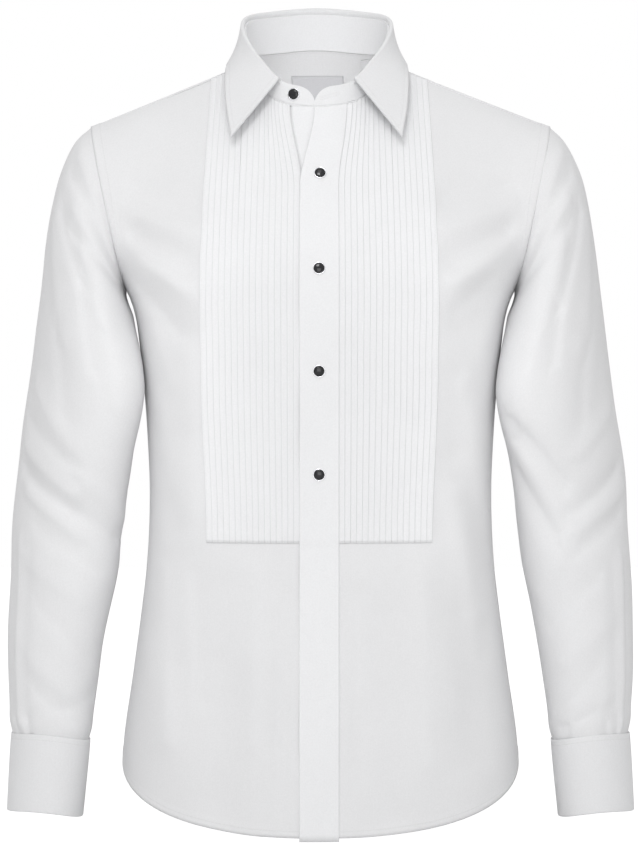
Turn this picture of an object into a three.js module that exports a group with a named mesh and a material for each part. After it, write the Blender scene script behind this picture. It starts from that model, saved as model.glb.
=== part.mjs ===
import * as THREE from "three";

// Evening dress shirt with a tucked bib, hollow and filled out as when it is worn. Millimetres, +Z up.
// The front faces -Y and the wearer's left is +X. The origin is the middle of the neck opening, level with
// the high shoulder points, where the shoulders carry the shirt.

// Cloth and seams
const CLOTH = 1.2; // wall of one layer of cloth
const SEAM = 0.3; // gap between two pieces that are sewn together
const HALF_SEAM = SEAM / 2;
const SIDE_INSET = 0.24; // front and back each stop this short of the side seam, where they bend
const SHOULDER_INSET = 0.45; // front and yoke each stop this short of the shoulder seam, where they bend
const NECK_INSET = 2.4; // a piece sewn on the front stops this short of the neck seam, under the collar
const OVERLAY = { inner: 1.4, outer: 2.6 }; // faces of a piece sewn on a panel, from the panel's middle

// Levels and lines of the body's cut
const ARMPIT_Z = -206;
const BIB_BOTTOM_Z = -451;
const HEM = { front: -726, back: -744, side: -660, curve: 1.75 };
const PLACKET_HALF = 18.6; // half the width of the front placket
const PLACKET_LIFT = 0.5; // the placket's fused cloth stands this much higher than the bib
const BIB_HALF = { chest: 111, waist: 106, shoulder: 105 }; // middle of the front to the bib's outer edge
const FRONT_SHIFT = -1.3; // the front's middle, with its placket and bib, sits this far to the wearer's right
const TUCKS = 16; // tucks on each half of the bib
const TUCK_RISE = 0.8;

// The unfastened top of the front: heights where it starts and ends to open, and how far its edges move
const OPEN = { from: -118, to: -38, fade: 44, right: -13, left: 9, placketEdge: 13.6 };

// Body rings: half width, and depth to the front and to the back, at each height
const ROUNDNESS = 2.3; // superellipse exponent of a ring
const BODY = [
  { z: -760, width: 194, front: 124, back: 120 },
  { z: -655, width: 192, front: 123, back: 117 },
  { z: -580, width: 182, front: 119, back: 111 },
  { z: -520, width: 174, front: 115, back: 104 },
  { z: -465, width: 168, front: 113, back: 98 },
  { z: -405, width: 166, front: 113, back: 95 },
  { z: -345, width: 168.5, front: 116, back: 98 },
  { z: -300, width: 172, front: 120, back: 103 },
  { z: -255, width: 176.5, front: 124, back: 108 },
  { z: -222, width: 179.5, front: 125.5, back: 110 },
  { z: -206, width: 190, front: 126, back: 111 },
];

// Largest folds of the body, between two points seen from the front or back; a negative depth is a trough
const FRONT_FOLDS = [
  { fromX: -196, fromZ: -140, toX: -128, toZ: -168, width: 20, depth: -3.5 },
  { fromX: -150, fromZ: -232, toX: -128, toZ: -262, width: 24, depth: -3.5 },
  { fromX: -158, fromZ: -498, toX: -150, toZ: -600, width: 18, depth: -3 },
  { fromX: -92, fromZ: -500, toX: -98, toZ: -690, width: 24, depth: -3 },
  { fromX: 62, fromZ: -500, toX: 70, toZ: -700, width: 24, depth: -3 },
  { fromX: 126, fromZ: -360, toX: 164, toZ: -474, width: 20, depth: -3.5 },
  { fromX: 128, fromZ: -500, toX: 140, toZ: -640, width: 22, depth: -3 },
  { fromX: 192, fromZ: -150, toX: 130, toZ: -186, width: 20, depth: -3.5 },
];
const BACK_FOLDS = [
  { fromX: -60, fromZ: -300, toX: -78, toZ: -560, width: 26, depth: -4 },
  { fromX: 58, fromZ: -290, toX: 80, toZ: -560, width: 26, depth: -4 },
  { fromX: -128, fromZ: -240, toX: -96, toZ: -400, width: 22, depth: -3 },
  { fromX: 130, fromZ: -250, toX: 100, toZ: -410, width: 22, depth: -3 },
];

// Sleeve rings from the armhole to the cuff: the outermost and innermost point, and half the depth
const SLEEVE = [
  { s: 0, outX: 224, outY: 0, outZ: -49, inX: 190, inY: 0, inZ: -206, half: 60 },
  { s: 1, outX: 240, outY: 0, outZ: -65.7, inX: 190.5, inY: -8, inZ: -213, half: 61 },
  { s: 2, outX: 254.3, outY: 0, outZ: -95, inX: 188.5, inY: -16, inZ: -221, half: 62 },
  { s: 3, outX: 262, outY: 0, outZ: -124.5, inX: 185, inY: -24, inZ: -231, half: 62 },
  { s: 4, outX: 267.6, outY: 0, outZ: -160, inX: 182, inY: -32, inZ: -246, half: 61 },
  { s: 5, outX: 272.4, outY: 1, outZ: -198, inX: 178, inY: -40, inZ: -266, half: 60 },
  { s: 6, outX: 277, outY: 2, outZ: -235, inX: 173.5, inY: -46, inZ: -288, half: 59 },
  { s: 7, outX: 281.5, outY: 3, outZ: -273, inX: 170.5, inY: -50, inZ: -310, half: 58 },
  { s: 8, outX: 287.6, outY: 5, outZ: -315.6, inX: 173.5, inY: -46, inZ: -338, half: 57 },
  { s: 9, outX: 293.8, outY: 7, outZ: -356, inX: 181.5, inY: -36, inZ: -369, half: 56 },
  { s: 10, outX: 298.5, outY: 8, outZ: -395, inX: 188, inY: -26, inZ: -403, half: 55 },
  { s: 11, outX: 301, outY: 7, outZ: -433, inX: 191.8, inY: -20, inZ: -438, half: 54 },
  { s: 12, outX: 302.8, outY: 3, outZ: -472, inX: 196, inY: -20, inZ: -476, half: 53 },
  { s: 13, outX: 304.2, outY: -2, outZ: -511, inX: 204, inY: -22, inZ: -515, half: 51 },
  { s: 14, outX: 304.4, outY: -8, outZ: -550, inX: 211.5, inY: -26, inZ: -555, half: 48 },
  { s: 15, outX: 303.4, outY: -14, outZ: -587, inX: 217, inY: -30, inZ: -593, half: 45 },
  { s: 16, outX: 301, outY: -19, outZ: -616, inX: 221, inY: -34, inZ: -623, half: 42 },
  { s: 17, outX: 297.5, outY: -22, outZ: -640, inX: 225.6, inY: -36, inZ: -647, half: 38.5 },
];
const SLEEVE_END = 17;
const ARMHOLE_STEP = { top: 0.6, under: 1.7 }; // the sleeve starts this far outwards from the armhole
const SHOULDER_ANGLE = 12; // degrees round the armhole, from its top, to the front shoulder seam
const YOKE_ANGLE = -48; // degrees round the armhole, the other way, to the yoke's back seam

// Largest folds of a sleeve, between two places given by ring and angle
const SLEEVE_FOLDS = [
  { fromS: 1.6, fromA: 62, toS: 3.6, toA: 118, width: 13, depth: -6 },
  { fromS: 3.4, fromA: 44, toS: 7.4, toA: 82, width: 15, depth: -5 },
  { fromS: 9.4, fromA: 24, toS: 11.2, toA: 84, width: 17, depth: -5 },
  { fromS: 11.0, fromA: 100, toS: 12.2, toA: 170, width: 17, depth: -5 },
  { fromS: 10.4, fromA: 196, toS: 11.4, toA: 256, width: 18, depth: -5 },
  { fromS: 2.6, fromA: 222, toS: 5.2, toA: 262, width: 17, depth: -5 },
  { fromS: 14.6, fromA: 62, toS: 16.2, toA: 118, width: 14, depth: -3.5 },
];
const GAUNTLET = { angle: -62, spread: 15, fromS: 13.4, toS: 16.9 }; // strip sewn on the sleeve's opening

// Cuff, folded double over itself, between its seam and its fold
const CUFF = [
  { s: 0, outX: 298.6, outY: -22, outZ: -641.5, inX: 225.4, inY: -37, inZ: -648.5, half: 38.6 },
  { s: 1, outX: 301.8, outY: -26, outZ: -712, inX: 232.4, inY: -41, inZ: -718, half: 36.8 },
];
const CUFF_TURN = { from: -80, round: 396 }; // degrees: where its inner end lies and how far it goes round
const CUFF_SPIRAL = 3.6; // how far the outer end stands outside the inner end
const CUFF_LAYER = { wall: 1.0, apart: 1.5 }; // one layer's wall, and between the middles of the two layers

// Collar: neck seam, stand and fall
const COLLAR_SHIFT = -3.6; // the collar sits a little towards the wearer's right
const NECK = { halfWidth: 70, midY: -5, halfDepth: 65, midZ: -0.5, tilt: 35.5, arch: 16 };
const SHOULDER_B = 97; // degrees round the neck seam, from the back, to the front shoulder seam
const STAND = [
  { b: 0, height: 36, lean: -8, inward: 0 },
  { b: 90, height: 31.5, lean: -3, inward: 0 },
  { b: 130, height: 25, lean: -2, inward: 3.4 },
  { b: 150, height: 19.5, lean: -1, inward: 0.8 },
  { b: 185, height: 18.5, lean: -1, inward: 0 },
];
const STAND_LIFT = 1; // the stand starts this far above the neck seam, clear of the panels' edges
const STAND_END = { left: 182, right: 179, round: 18, apart: 1.5 };
const COLLAR_WALL = 1.8; // two layers of cloth with interlining between them
const FALL_END = 150; // degrees round the neck, from the back, where the fall ends
const ROLL = { back: 6, front: 2.2, out: 3.8 };
const FALL_EDGE = [
  { b: 0, x: 0, y: 75, z: 31 },
  { b: 40, x: 49, y: 62, z: 28 },
  { b: 70, x: 76.5, y: 36, z: 23 },
  { b: 95, x: 86.5, y: 2, z: 16 },
  { b: 118, x: 88.4, y: -38, z: -4.5 },
  { b: 135, x: 86.6, y: -64, z: -34 },
  { b: 150, x: 81, y: -88, z: -67 },
];
const FALL_CLEAR = 6; // the fall's middle keeps this far off the front's middle, over the bib's tucks

// Blank label and size tab inside the yoke: half width round the neck in degrees, and heights
const LABEL = { atB: 0, halfB: 23, top: 11, bottom: -36 };
const INSIDE_TAB = { outer: 2.1, inner: 2.9 }; // their two faces, inwards from the yoke's middle
const SIZE_TAB = { atB: 45, halfB: 5, top: 25, bottom: 15 };

// Studs: radii, heights on the placket and side step; the collar's loose one and the cuffs' links match
const STUD = { rim: 6, face: 4.65, x: -0.1, off: 0.47 };
const STUD_HEIGHTS = [-103.5, -194, -289.5, -386.5];
const COLLAR_STUD = { b: -161.5, up: 0.5 };
const LINK = { angle: -62, share: 0.5 };

const DEG = Math.PI / 180;
const clamp01 = (t) => Math.min(1, Math.max(0, t));
const lerp = (a, b, t) => a + (b - a) * t;
const smooth = (t) => clamp01(t) ** 2 * (3 - 2 * clamp01(t));
const point = (x, y, z) => new THREE.Vector3(x, y, z);
const steps = (count) => Array.from({ length: count + 1 }, (_, i) => i / count);

// Smooth values of a table's columns, at a value of its key column
function rowAt(table, key, at) {
  let i = 0;
  while (i < table.length - 2 && table[i + 1][key] < at) i += 1;
  const [a, b] = [table[i], table[i + 1]];
  const before = table[Math.max(0, i - 1)];
  const after = table[Math.min(table.length - 1, i + 2)];
  const span = b[key] - a[key];
  const t = clamp01((at - a[key]) / span);
  const [t2, t3] = [t * t, t * t * t];
  const values = {};
  for (const name of Object.keys(a)) {
    const slopeA = ((b[name] - before[name]) / (b[key] - before[key])) * span;
    const slopeB = ((after[name] - a[name]) / (after[key] - a[key])) * span;
    values[name] =
      a[name] * (2 * t3 - 3 * t2 + 1) +
      slopeA * (t3 - 2 * t2 + t) +
      b[name] * (3 * t2 - 2 * t3) +
      slopeB * (t3 - t2);
  }
  return values;
}

// A curve from one point to another that leaves and arrives along the given arrows
function hermite(start, leave, end, arrive, t) {
  const [t2, t3] = [t * t, t * t * t];
  return point(0, 0, 0)
    .addScaledVector(start, 2 * t3 - 3 * t2 + 1)
    .addScaledVector(leave, t3 - 2 * t2 + t)
    .addScaledVector(end, 3 * t2 - 2 * t3)
    .addScaledVector(arrive, t3 - t2);
}

// Height of a point over a fold that runs from one point to another
function foldHeight(at, from, to, width, depth) {
  const nearest = new THREE.Line3(from, to).closestPointToPoint(at, true, point(0, 0, 0));
  return depth * Math.exp(-((nearest.distanceTo(at) / width) ** 2));
}

function bodyFold(folds, at) {
  const flat = point(at.x, 0, at.z);
  let height = 0;
  for (const f of folds) {
    height += foldHeight(flat, point(f.fromX, 0, f.fromZ), point(f.toX, 0, f.toZ), f.width, f.depth);
  }
  return height;
}

// Point of a body ring; turn runs from 0 at the middle to 1 at the side seam, face is -1 front and 1 back
function ringPoint(z, turn, face) {
  const ring = rowAt(BODY, "z", z);
  const angle = (Math.abs(turn) * Math.PI) / 2;
  const x = Math.sign(turn) * ring.width * Math.sin(angle) ** (2 / ROUNDNESS);
  const depth = face < 0 ? ring.front : ring.back;
  return point(x, face * depth * Math.max(0, Math.cos(angle)) ** (2 / ROUNDNESS), z);
}

function turnOfX(x, z) {
  const share = clamp01(Math.abs(x) / rowAt(BODY, "z", z).width);
  return (Math.sign(x) * Math.asin(share ** (ROUNDNESS / 2)) * 2) / Math.PI;
}

function hemZ(turn, face) {
  return lerp(face < 0 ? HEM.front : HEM.back, HEM.side, Math.abs(turn) ** HEM.curve);
}

// Point of a sleeve or cuff ring; angle 0 is outermost, 90 to the front and 180 innermost
function tubePoint(table, s, angle, side) {
  const r = rowAt(table, "s", s);
  const [c, d] = [Math.cos(angle * DEG), Math.sin(angle * DEG)];
  return point(
    side * lerp(r.inX, r.outX, (1 + c) / 2),
    lerp(r.inY, r.outY, (1 + c) / 2) - r.half * d,
    lerp(r.inZ, r.outZ, (1 + c) / 2),
  );
}

const armhole = (angle, side) => tubePoint(SLEEVE, 0, angle, side);

// Neck seam; b is 0 at the back and 180 or -180 degrees at the front
function neckSeam(b) {
  const [s, c] = [Math.sin(b * DEG), Math.cos(b * DEG)];
  return point(
    NECK.halfWidth * s + COLLAR_SHIFT,
    NECK.midY + NECK.halfDepth * c,
    NECK.midZ + NECK.tilt * c + NECK.arch * s ** 4,
  );
}

// Upper edge of the front, by its X: the neck seam, and then the front shoulder seam out to the armhole
function frontTop(x) {
  const side = x < 0 ? -1 : 1;
  const inner = neckSeam(side * SHOULDER_B);
  if (Math.abs(x) > Math.abs(inner.x)) {
    const outer = armhole(SHOULDER_ANGLE, side);
    return inner.lerp(outer, (x - inner.x) / (outer.x - inner.x));
  }
  return neckSeam(180 - Math.asin((x - COLLAR_SHIFT) / NECK.halfWidth) / DEG);
}

// A top edge with the neck's corner eased, from its points at even steps to both sides
const EASE = [1, 2, 3, 4, 3, 2, 1];
function eased(edge, at, step) {
  const found = point(0, 0, 0);
  EASE.forEach((weight, i) => found.addScaledVector(edge(at + (i - 3) * step), weight / 16));
  return found;
}

const bibEdge = (z) => lerp(BIB_HALF.waist, BIB_HALF.chest, smooth((z - BIB_BOTTOM_Z) / 160));

// The front below the armpit's level. q is 0 at the middle, 1 or -1 at the bib's edge, 2 or -2 at the side
function frontLower(q, share) {
  const side = q < 0 ? -1 : 1;
  const turnAt = (z) => {
    const inner = turnOfX(side * Math.min(1, Math.abs(q)) * bibEdge(z) + FRONT_SHIFT, z);
    return lerp(inner, side, Math.max(0, Math.abs(q) - 1));
  };
  const z = lerp(hemZ(turnAt(HEM.side), -1), ARMPIT_Z, share);
  return ringPoint(z, turnAt(z), -1);
}

// The front of the body; v is 0 at the hem, LOWER at the armpit's level and 1 at the neck and shoulder
const LOWER = 0.66;
function front(q, v) {
  const side = q < 0 ? -1 : 1;
  const outer = Math.max(0, Math.abs(q) - 1);
  let found = frontLower(q, v / LOWER);
  if (v > LOWER) {
    const t = (v - LOWER) / (1 - LOWER);
    const armX = Math.abs(armhole(SHOULDER_ANGLE, side).x);
    const topX = outer > 0 ? lerp(BIB_HALF.shoulder, armX, outer) : Math.abs(q) * BIB_HALF.shoulder;
    const shift = FRONT_SHIFT * (1 - outer);
    const over = smooth((Math.abs(q) - 0.2) / 0.6);
    const leave = point(0, 6, 170);
    const arrive = point(0, lerp(70, 92, over), lerp(150, 70, over));
    const top = side * topX + shift;
    const followed = eased(frontTop, top, 12);
    found = hermite(frontLower(q, 1), leave, followed, arrive, t);
    found.addScaledVector(frontTop(top).sub(followed), t ** 6);
    if (outer > 0) {
      const plain = hermite(frontLower(side * 2, 1), leave, frontTop(side * armX), arrive, t);
      const seam = armhole(lerp(180, SHOULDER_ANGLE, t), side);
      found.addScaledVector(seam.sub(plain), outer ** 2.2);
    }
  }
  found.y -= bodyFold(FRONT_FOLDS, found) * (1 - smooth((Math.abs(q) - 1.55) / 0.4));
  return found;
}

// Share v of the front at a height, for a column q
function frontV(q, z) {
  let [low, high] = [0, 1];
  for (let n = 0; n < 24; n += 1) {
    const middle = (low + high) / 2;
    if (front(q, middle).z < z) low = middle;
    else high = middle;
  }
  return (low + high) / 2;
}

// Point of the front at a distance x from the middle, moved aside where the top stands open
function frontAtX(x, v, shift) {
  const z = front(x / BIB_HALF.chest, v).z;
  const half = v < LOWER ? bibEdge(z) : BIB_HALF.chest;
  const narrow = (half - PLACKET_HALF) / (BIB_HALF.chest - PLACKET_HALF);
  const past = Math.max(0, Math.abs(x) - PLACKET_HALF);
  const across = x - Math.sign(x) * past * (1 - narrow);
  const opened = smooth((z - OPEN.from) / (OPEN.to - OPEN.from));
  const near = 1 - smooth((Math.abs(x) - PLACKET_HALF) / OPEN.fade);
  return front((across + shift * opened * near) / half, v);
}

// The yoke's lower seam across the back, by its X
const YOKE = { z: -75, depth: 100, reach: 234.7, halfWidth: 218.4 };
function yokeSeam(x) {
  const y = YOKE.depth * (1 - (Math.abs(x) / YOKE.reach) ** ROUNDNESS) ** (1 / ROUNDNESS);
  return point(x, y, YOKE.z);
}

// The back of the body. q runs from -1 at the wearer's left side seam to 1 at the right; v as for the front
function back(q, v) {
  const side = q < 0 ? 1 : -1;
  const found = ringPoint(lerp(hemZ(q, 1), ARMPIT_Z, clamp01(v / LOWER)), -q, 1);
  if (v > LOWER) {
    const t = (v - LOWER) / (1 - LOWER);
    const [leave, arrive] = [point(0, 4, 125), point(0, -22, 125)];
    const seam = armhole(lerp(-180, YOKE_ANGLE, t), side);
    const corner = [ringPoint(ARMPIT_Z, side, 1), yokeSeam(side * YOKE.halfWidth)];
    found.copy(hermite(found, leave, yokeSeam(-q * YOKE.halfWidth), arrive, t));
    found.addScaledVector(seam.sub(hermite(corner[0], leave, corner[1], arrive, t)), Math.abs(q) ** 5);
  }
  found.y += bodyFold(BACK_FOLDS, found) * (1 - smooth((Math.abs(q) - 0.75) / 0.2));
  return found;
}

// Upper edge of the yoke: the neck seam, and then the front shoulder seam, past its end too
const NECK_Q = 0.48;
function yokeTop(q) {
  const side = q < 0 ? 1 : -1;
  const b = (Math.min(Math.abs(q), NECK_Q) / NECK_Q) * SHOULDER_B;
  const outward = Math.max(0, (Math.abs(q) - NECK_Q) / (1 - NECK_Q));
  return neckSeam(side * b).lerp(armhole(SHOULDER_ANGLE, side), outward);
}

// The yoke. q runs as for the back and is NECK_Q at the neck's corner; v is 0 at the back seam and 1 at
// the neck seam and the front shoulder seams
const NECK_FULLNESS = { x: 84, width: 30, back: 9, up: 3 }; // the yoke swells over the shoulder beside the neck
function yoke(q, v) {
  const side = q < 0 ? 1 : -1;
  const b = (Math.min(Math.abs(q), NECK_Q) / NECK_Q) * SHOULDER_B;
  const out = clamp01((Math.abs(q) - NECK_Q) / (1 - NECK_Q));
  const column = (across, outward) => {
    const beside = smooth(b / SHOULDER_B);
    const rise = lerp(58, -12, beside) - 4 * outward;
    const reach = lerp(lerp(105, 150, beside), 62, outward);
    const arrive = point(0, -Math.cos(rise * DEG), Math.sin(rise * DEG)).multiplyScalar(reach);
    const leave = point(0, lerp(-18, -44, outward), lerp(lerp(112, 150, beside), 62, outward));
    const top = yokeTop(-side * across);
    const followed = eased(yokeTop, -side * across, 0.05);
    const found = hermite(yokeSeam(side * across * YOKE.halfWidth), leave, followed, arrive, v);
    return found.addScaledVector(top.sub(followed), v ** 5);
  };
  const found = column(Math.abs(q), out);
  const full = Math.exp(-(((Math.abs(found.x) - NECK_FULLNESS.x) / NECK_FULLNESS.width) ** 2));
  found.y += NECK_FULLNESS.back * full * Math.sin(Math.PI * v);
  found.z += NECK_FULLNESS.up * full * Math.sin(Math.PI * v);
  const seam = armhole(lerp(YOKE_ANGLE, SHOULDER_ANGLE, v), side);
  return out > 0 ? found.addScaledVector(seam.sub(column(1, 1)), out ** 4) : found;
}

// Point inside or outside the yoke at an angle round the neck and a height
function yokeAtZ(b, z) {
  const q = (-b / SHOULDER_B) * NECK_Q;
  let [low, high] = [0, 1];
  for (let n = 0; n < 24; n += 1) {
    const middle = (low + high) / 2;
    if (yoke(q, middle).z < z) low = middle;
    else high = middle;
  }
  return yoke(q, (low + high) / 2);
}

// Sleeve point with its folds
function sleeve(s, angle, side) {
  const found = tubePoint(SLEEVE, s, angle, side);
  const middle = tubePoint(SLEEVE, s, 0, side).lerp(tubePoint(SLEEVE, s, 180, side), 0.5);
  let height = 0;
  for (const f of SLEEVE_FOLDS) {
    const [from, to] = [tubePoint(SLEEVE, f.fromS, f.fromA, side), tubePoint(SLEEVE, f.toS, f.toA, side)];
    height += foldHeight(found, from, to, f.width, f.depth);
  }
  const outward = found.clone().sub(middle).normalize();
  found.addScaledVector(outward, height * smooth(s / 1.5) * smooth(SLEEVE_END - s));
  const under = (1 - Math.cos(angle * DEG)) / 2;
  found.x += side * lerp(ARMHOLE_STEP.top, ARMHOLE_STEP.under, under) * (1 - smooth(s / 2));
  return found;
}

// Grid of a surface function: rows along v, columns along q
const sheet = (surface, qs, vs) => vs.map((v) => qs.map((q) => surface(q, v)));

// Unit normals of a grid, by the right-hand rule from columns to rows
function gridNormals(grid, closed) {
  const [rows, columns] = [grid.length, grid[0].length];
  return grid.map((line, j) =>
    line.map((_, i) => {
      const right = closed ? (i + 1) % columns : Math.min(columns - 1, i + 1);
      const left = closed ? (i + columns - 1) % columns : Math.max(0, i - 1);
      const across = line[right].clone().sub(line[left]);
      const up = grid[Math.min(rows - 1, j + 1)][i].clone().sub(grid[Math.max(0, j - 1)][i]);
      return across.cross(up).normalize();
    }),
  );
}

// Draws the edges of a grid in by the given lengths, so that it stops short of its neighbours; the top's may
// be a function of its point
function drawIn(grid, { left = 0, right = 0, bottom = 0, top = 0 }) {
  const pull = (p, next, length) => p.addScaledVector(next.clone().sub(p).normalize(), length);
  const [rows, columns] = [grid.length, grid[0].length];
  for (const line of grid) {
    if (left) pull(line[0], line[1], left);
    if (right) pull(line[columns - 1], line[columns - 2], right);
  }
  for (let i = 0; i < columns; i += 1) {
    const length = typeof top === "function" ? top(grid[rows - 1][i]) : top;
    if (bottom) pull(grid[0][i], grid[1][i], bottom);
    if (length) pull(grid[rows - 1][i], grid[rows - 2][i], length);
  }
  return grid;
}

function volumeOf(positions, indices) {
  const [a, b, c] = [point(0, 0, 0), point(0, 0, 0), point(0, 0, 0)];
  let total = 0;
  for (let i = 0; i < indices.length; i += 3) {
    a.fromArray(positions, indices[i] * 3);
    b.fromArray(positions, indices[i + 1] * 3);
    c.fromArray(positions, indices[i + 2] * 3);
    total += a.dot(b.cross(c));
  }
  return total / 6;
}

// Closed solid of cloth: a grid moved out to its outer and inner face, closed round its edges
function wall(grid, { outer = CLOTH / 2, inner = -CLOTH / 2, raise = () => 0, closed = false } = {}) {
  const [rows, columns] = [grid.length, grid[0].length];
  const normals = gridNormals(grid, closed);
  const positions = [];
  for (const face of [0, 1]) {
    grid.forEach((line, j) =>
      line.forEach((p, i) => {
        const offset = face === 0 ? outer + raise(i, j) : inner;
        positions.push(...p.clone().addScaledVector(normals[j][i], offset).toArray());
      }),
    );
  }
  const at = (face, j, i) => face * rows * columns + j * columns + (i % columns);
  const indices = [];
  const quad = (a, b, c, d) => indices.push(a, b, c, a, c, d);
  const across = closed ? columns : columns - 1;
  for (let i = 0; i < across; i += 1) {
    for (let j = 0; j < rows - 1; j += 1) {
      quad(at(0, j, i), at(0, j, i + 1), at(0, j + 1, i + 1), at(0, j + 1, i));
      quad(at(1, j, i), at(1, j + 1, i), at(1, j + 1, i + 1), at(1, j, i + 1));
    }
    quad(at(0, 0, i), at(1, 0, i), at(1, 0, i + 1), at(0, 0, i + 1));
    quad(at(0, rows - 1, i), at(0, rows - 1, i + 1), at(1, rows - 1, i + 1), at(1, rows - 1, i));
  }
  for (let j = 0; j < rows - 1 && !closed; j += 1) {
    const i = columns - 1;
    quad(at(0, j, 0), at(0, j + 1, 0), at(1, j + 1, 0), at(1, j, 0));
    quad(at(0, j, i), at(1, j, i), at(1, j + 1, i), at(0, j + 1, i));
  }
  if (volumeOf(positions, indices) < 0) indices.reverse();
  const geometry = new THREE.BufferGeometry();
  geometry.setAttribute("position", new THREE.Float32BufferAttribute(positions, 3));
  geometry.setIndex(indices);
  geometry.computeVertexNormals();
  return geometry;
}

// Closed turned solid from a profile of radius and height that starts and ends on the axis
function turned(profile, around = 14) {
  const positions = [];
  const indices = [];
  const rings = profile.slice(1, -1);
  positions.push(0, 0, profile[0].h);
  for (const ring of rings) {
    for (let i = 0; i < around; i += 1) {
      const angle = (i / around) * 2 * Math.PI;
      positions.push(ring.r * Math.cos(angle), ring.r * Math.sin(angle), ring.h);
    }
  }
  positions.push(0, 0, profile[profile.length - 1].h);
  const last = positions.length / 3 - 1;
  const at = (k, i) => 1 + k * around + (i % around);
  for (let i = 0; i < around; i += 1) {
    indices.push(0, at(0, i + 1), at(0, i));
    indices.push(last, at(rings.length - 1, i), at(rings.length - 1, i + 1));
    for (let k = 0; k < rings.length - 1; k += 1) {
      indices.push(at(k, i), at(k, i + 1), at(k + 1, i + 1), at(k, i), at(k + 1, i + 1), at(k + 1, i));
    }
  }
  if (volumeOf(positions, indices) < 0) indices.reverse();
  const geometry = new THREE.BufferGeometry();
  geometry.setAttribute("position", new THREE.Float32BufferAttribute(positions, 3));
  geometry.setIndex(indices);
  geometry.computeVertexNormals();
  return geometry;
}

// Materials
const cotton = { color: 0xf1f1f3, roughness: 0.85, metalness: 0 };
const fused = { color: 0xf3f3f5, roughness: 0.75, metalness: 0 };
const satin = { color: 0xb9bbc0, roughness: 0.5, metalness: 0 };
const onyx = { color: 0x0c0c0e, roughness: 0.18, metalness: 0 };
const silver = { color: 0xe4e5e8, roughness: 0.2, metalness: 1 };

const shirt = new THREE.Group();
function add(name, geometry, look) {
  const mesh = new THREE.Mesh(geometry, new THREE.MeshStandardMaterial(look));
  mesh.name = name;
  shirt.add(mesh);
  return mesh;
}

const SIDES = [
  { name: "left", side: 1 },
  { name: "right", side: -1 },
];
const UPPER_ROWS = 7;
const YOKE_ROWS = 4;
const bodyRows = [
  ...[0, 0.13, 0.26, 0.39, 0.52, 0.65, 0.78, 0.89, 0.965, 1].map((t) => t * LOWER),
  ...steps(UPPER_ROWS)
    .slice(1)
    .map((t) => lerp(LOWER, 1, t)),
];

// Front panels, from the placket's edge to the side seam
function frontPanel(name, side) {
  const onChest = BIB_HALF.chest / BIB_HALF.shoulder;
  const fromMiddle = (b) => Math.abs(neckSeam(side * b).x - FRONT_SHIFT) * onChest;
  const neckColumns = [152, 138, 126, 115, 105, SHOULDER_B].map(fromMiddle);
  const inner = [PLACKET_HALF + HALF_SEAM, ...neckColumns, 91, BIB_HALF.chest];
  const outer = steps(8)
    .slice(1)
    .map((t) => side * (1 + t));
  const shift = side > 0 ? OPEN.left : OPEN.right;
  const grid = bodyRows.map((v) => [
    ...inner.map((x) => frontAtX(side * x, v, shift)),
    ...outer.map((q) => front(q, v)),
  ]);
  drawIn(grid, { right: SIDE_INSET, top: SHOULDER_INSET });
  if (side < 0) grid.forEach((line) => line.reverse());
  add(`front_${name}`, wall(grid), cotton);
}

// Half of the bib, with its tucks raised in the outer face
function bib(name, side) {
  const shift = side > 0 ? OPEN.left : OPEN.right;
  const start = PLACKET_HALF + 2 * SEAM;
  const columns = steps(TUCKS).flatMap((t, i) => (i < TUCKS ? [t, t + 0.85 / TUCKS] : [t]));
  const xs = columns.map((t) => lerp(start, BIB_HALF.chest, t));
  const rows = bodyRows.filter((v) => front(1, v).z > BIB_BOTTOM_Z + 10);
  const grid = [
    xs.map((x) => frontAtX(side * x, frontV((side * x) / BIB_HALF.chest, BIB_BOTTOM_Z), shift)),
    ...rows.map((v) => xs.map((x) => frontAtX(side * x, v, shift))),
  ];
  const corner = Math.abs(neckSeam(side * SHOULDER_B).x) + 1;
  drawIn(grid, { top: (p) => (Math.abs(p.x) < corner ? NECK_INSET : SHOULDER_INSET) });
  if (side < 0) grid.forEach((line) => line.reverse());
  const raise = (i) => ((side < 0 ? grid[0].length - 1 - i : i) % 2 === 1 ? TUCK_RISE : 0);
  add(`bib_${name}`, wall(grid, { ...OVERLAY, raise }), cotton);
}

for (const { name, side } of SIDES) {
  frontPanel(name, side);
  bib(name, side);
}

// Placket on the wearer's left, over the bib's edge, and the right front's band under it
const placketXs = steps(5).map((t) => lerp(-PLACKET_HALF, PLACKET_HALF, t));
const placketShift = (x) => lerp(OPEN.placketEdge, OPEN.left, (x + PLACKET_HALF) / (2 * PLACKET_HALF));
const placketGrid = sheet((x, v) => frontAtX(x, v, placketShift(x)), placketXs, [-0.004, ...bodyRows.slice(1)]);
drawIn(placketGrid, { top: NECK_INSET / 2 });
const placketFaces = { inner: OVERLAY.inner + PLACKET_LIFT, outer: OVERLAY.outer + 2 * PLACKET_LIFT };
add("placket", wall(placketGrid, placketFaces), fused);

const bandXs = placketXs.map((x) => (x * (PLACKET_HALF - SIDE_INSET)) / PLACKET_HALF);
const bandGrid = sheet((x, v) => frontAtX(x, v, OPEN.right), bandXs, bodyRows);
add("under_placket", wall(drawIn(bandGrid, { top: HALF_SEAM })), fused);

// Back panel and yoke
const backColumns = steps(18).map((t) => Math.sin((t - 0.5) * Math.PI * 0.94) / Math.sin(0.47 * Math.PI));
const sideInsets = { left: SIDE_INSET, right: SIDE_INSET };
add("back", wall(drawIn(sheet(back, backColumns, bodyRows), { ...sideInsets, top: SEAM })), cotton);

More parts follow.
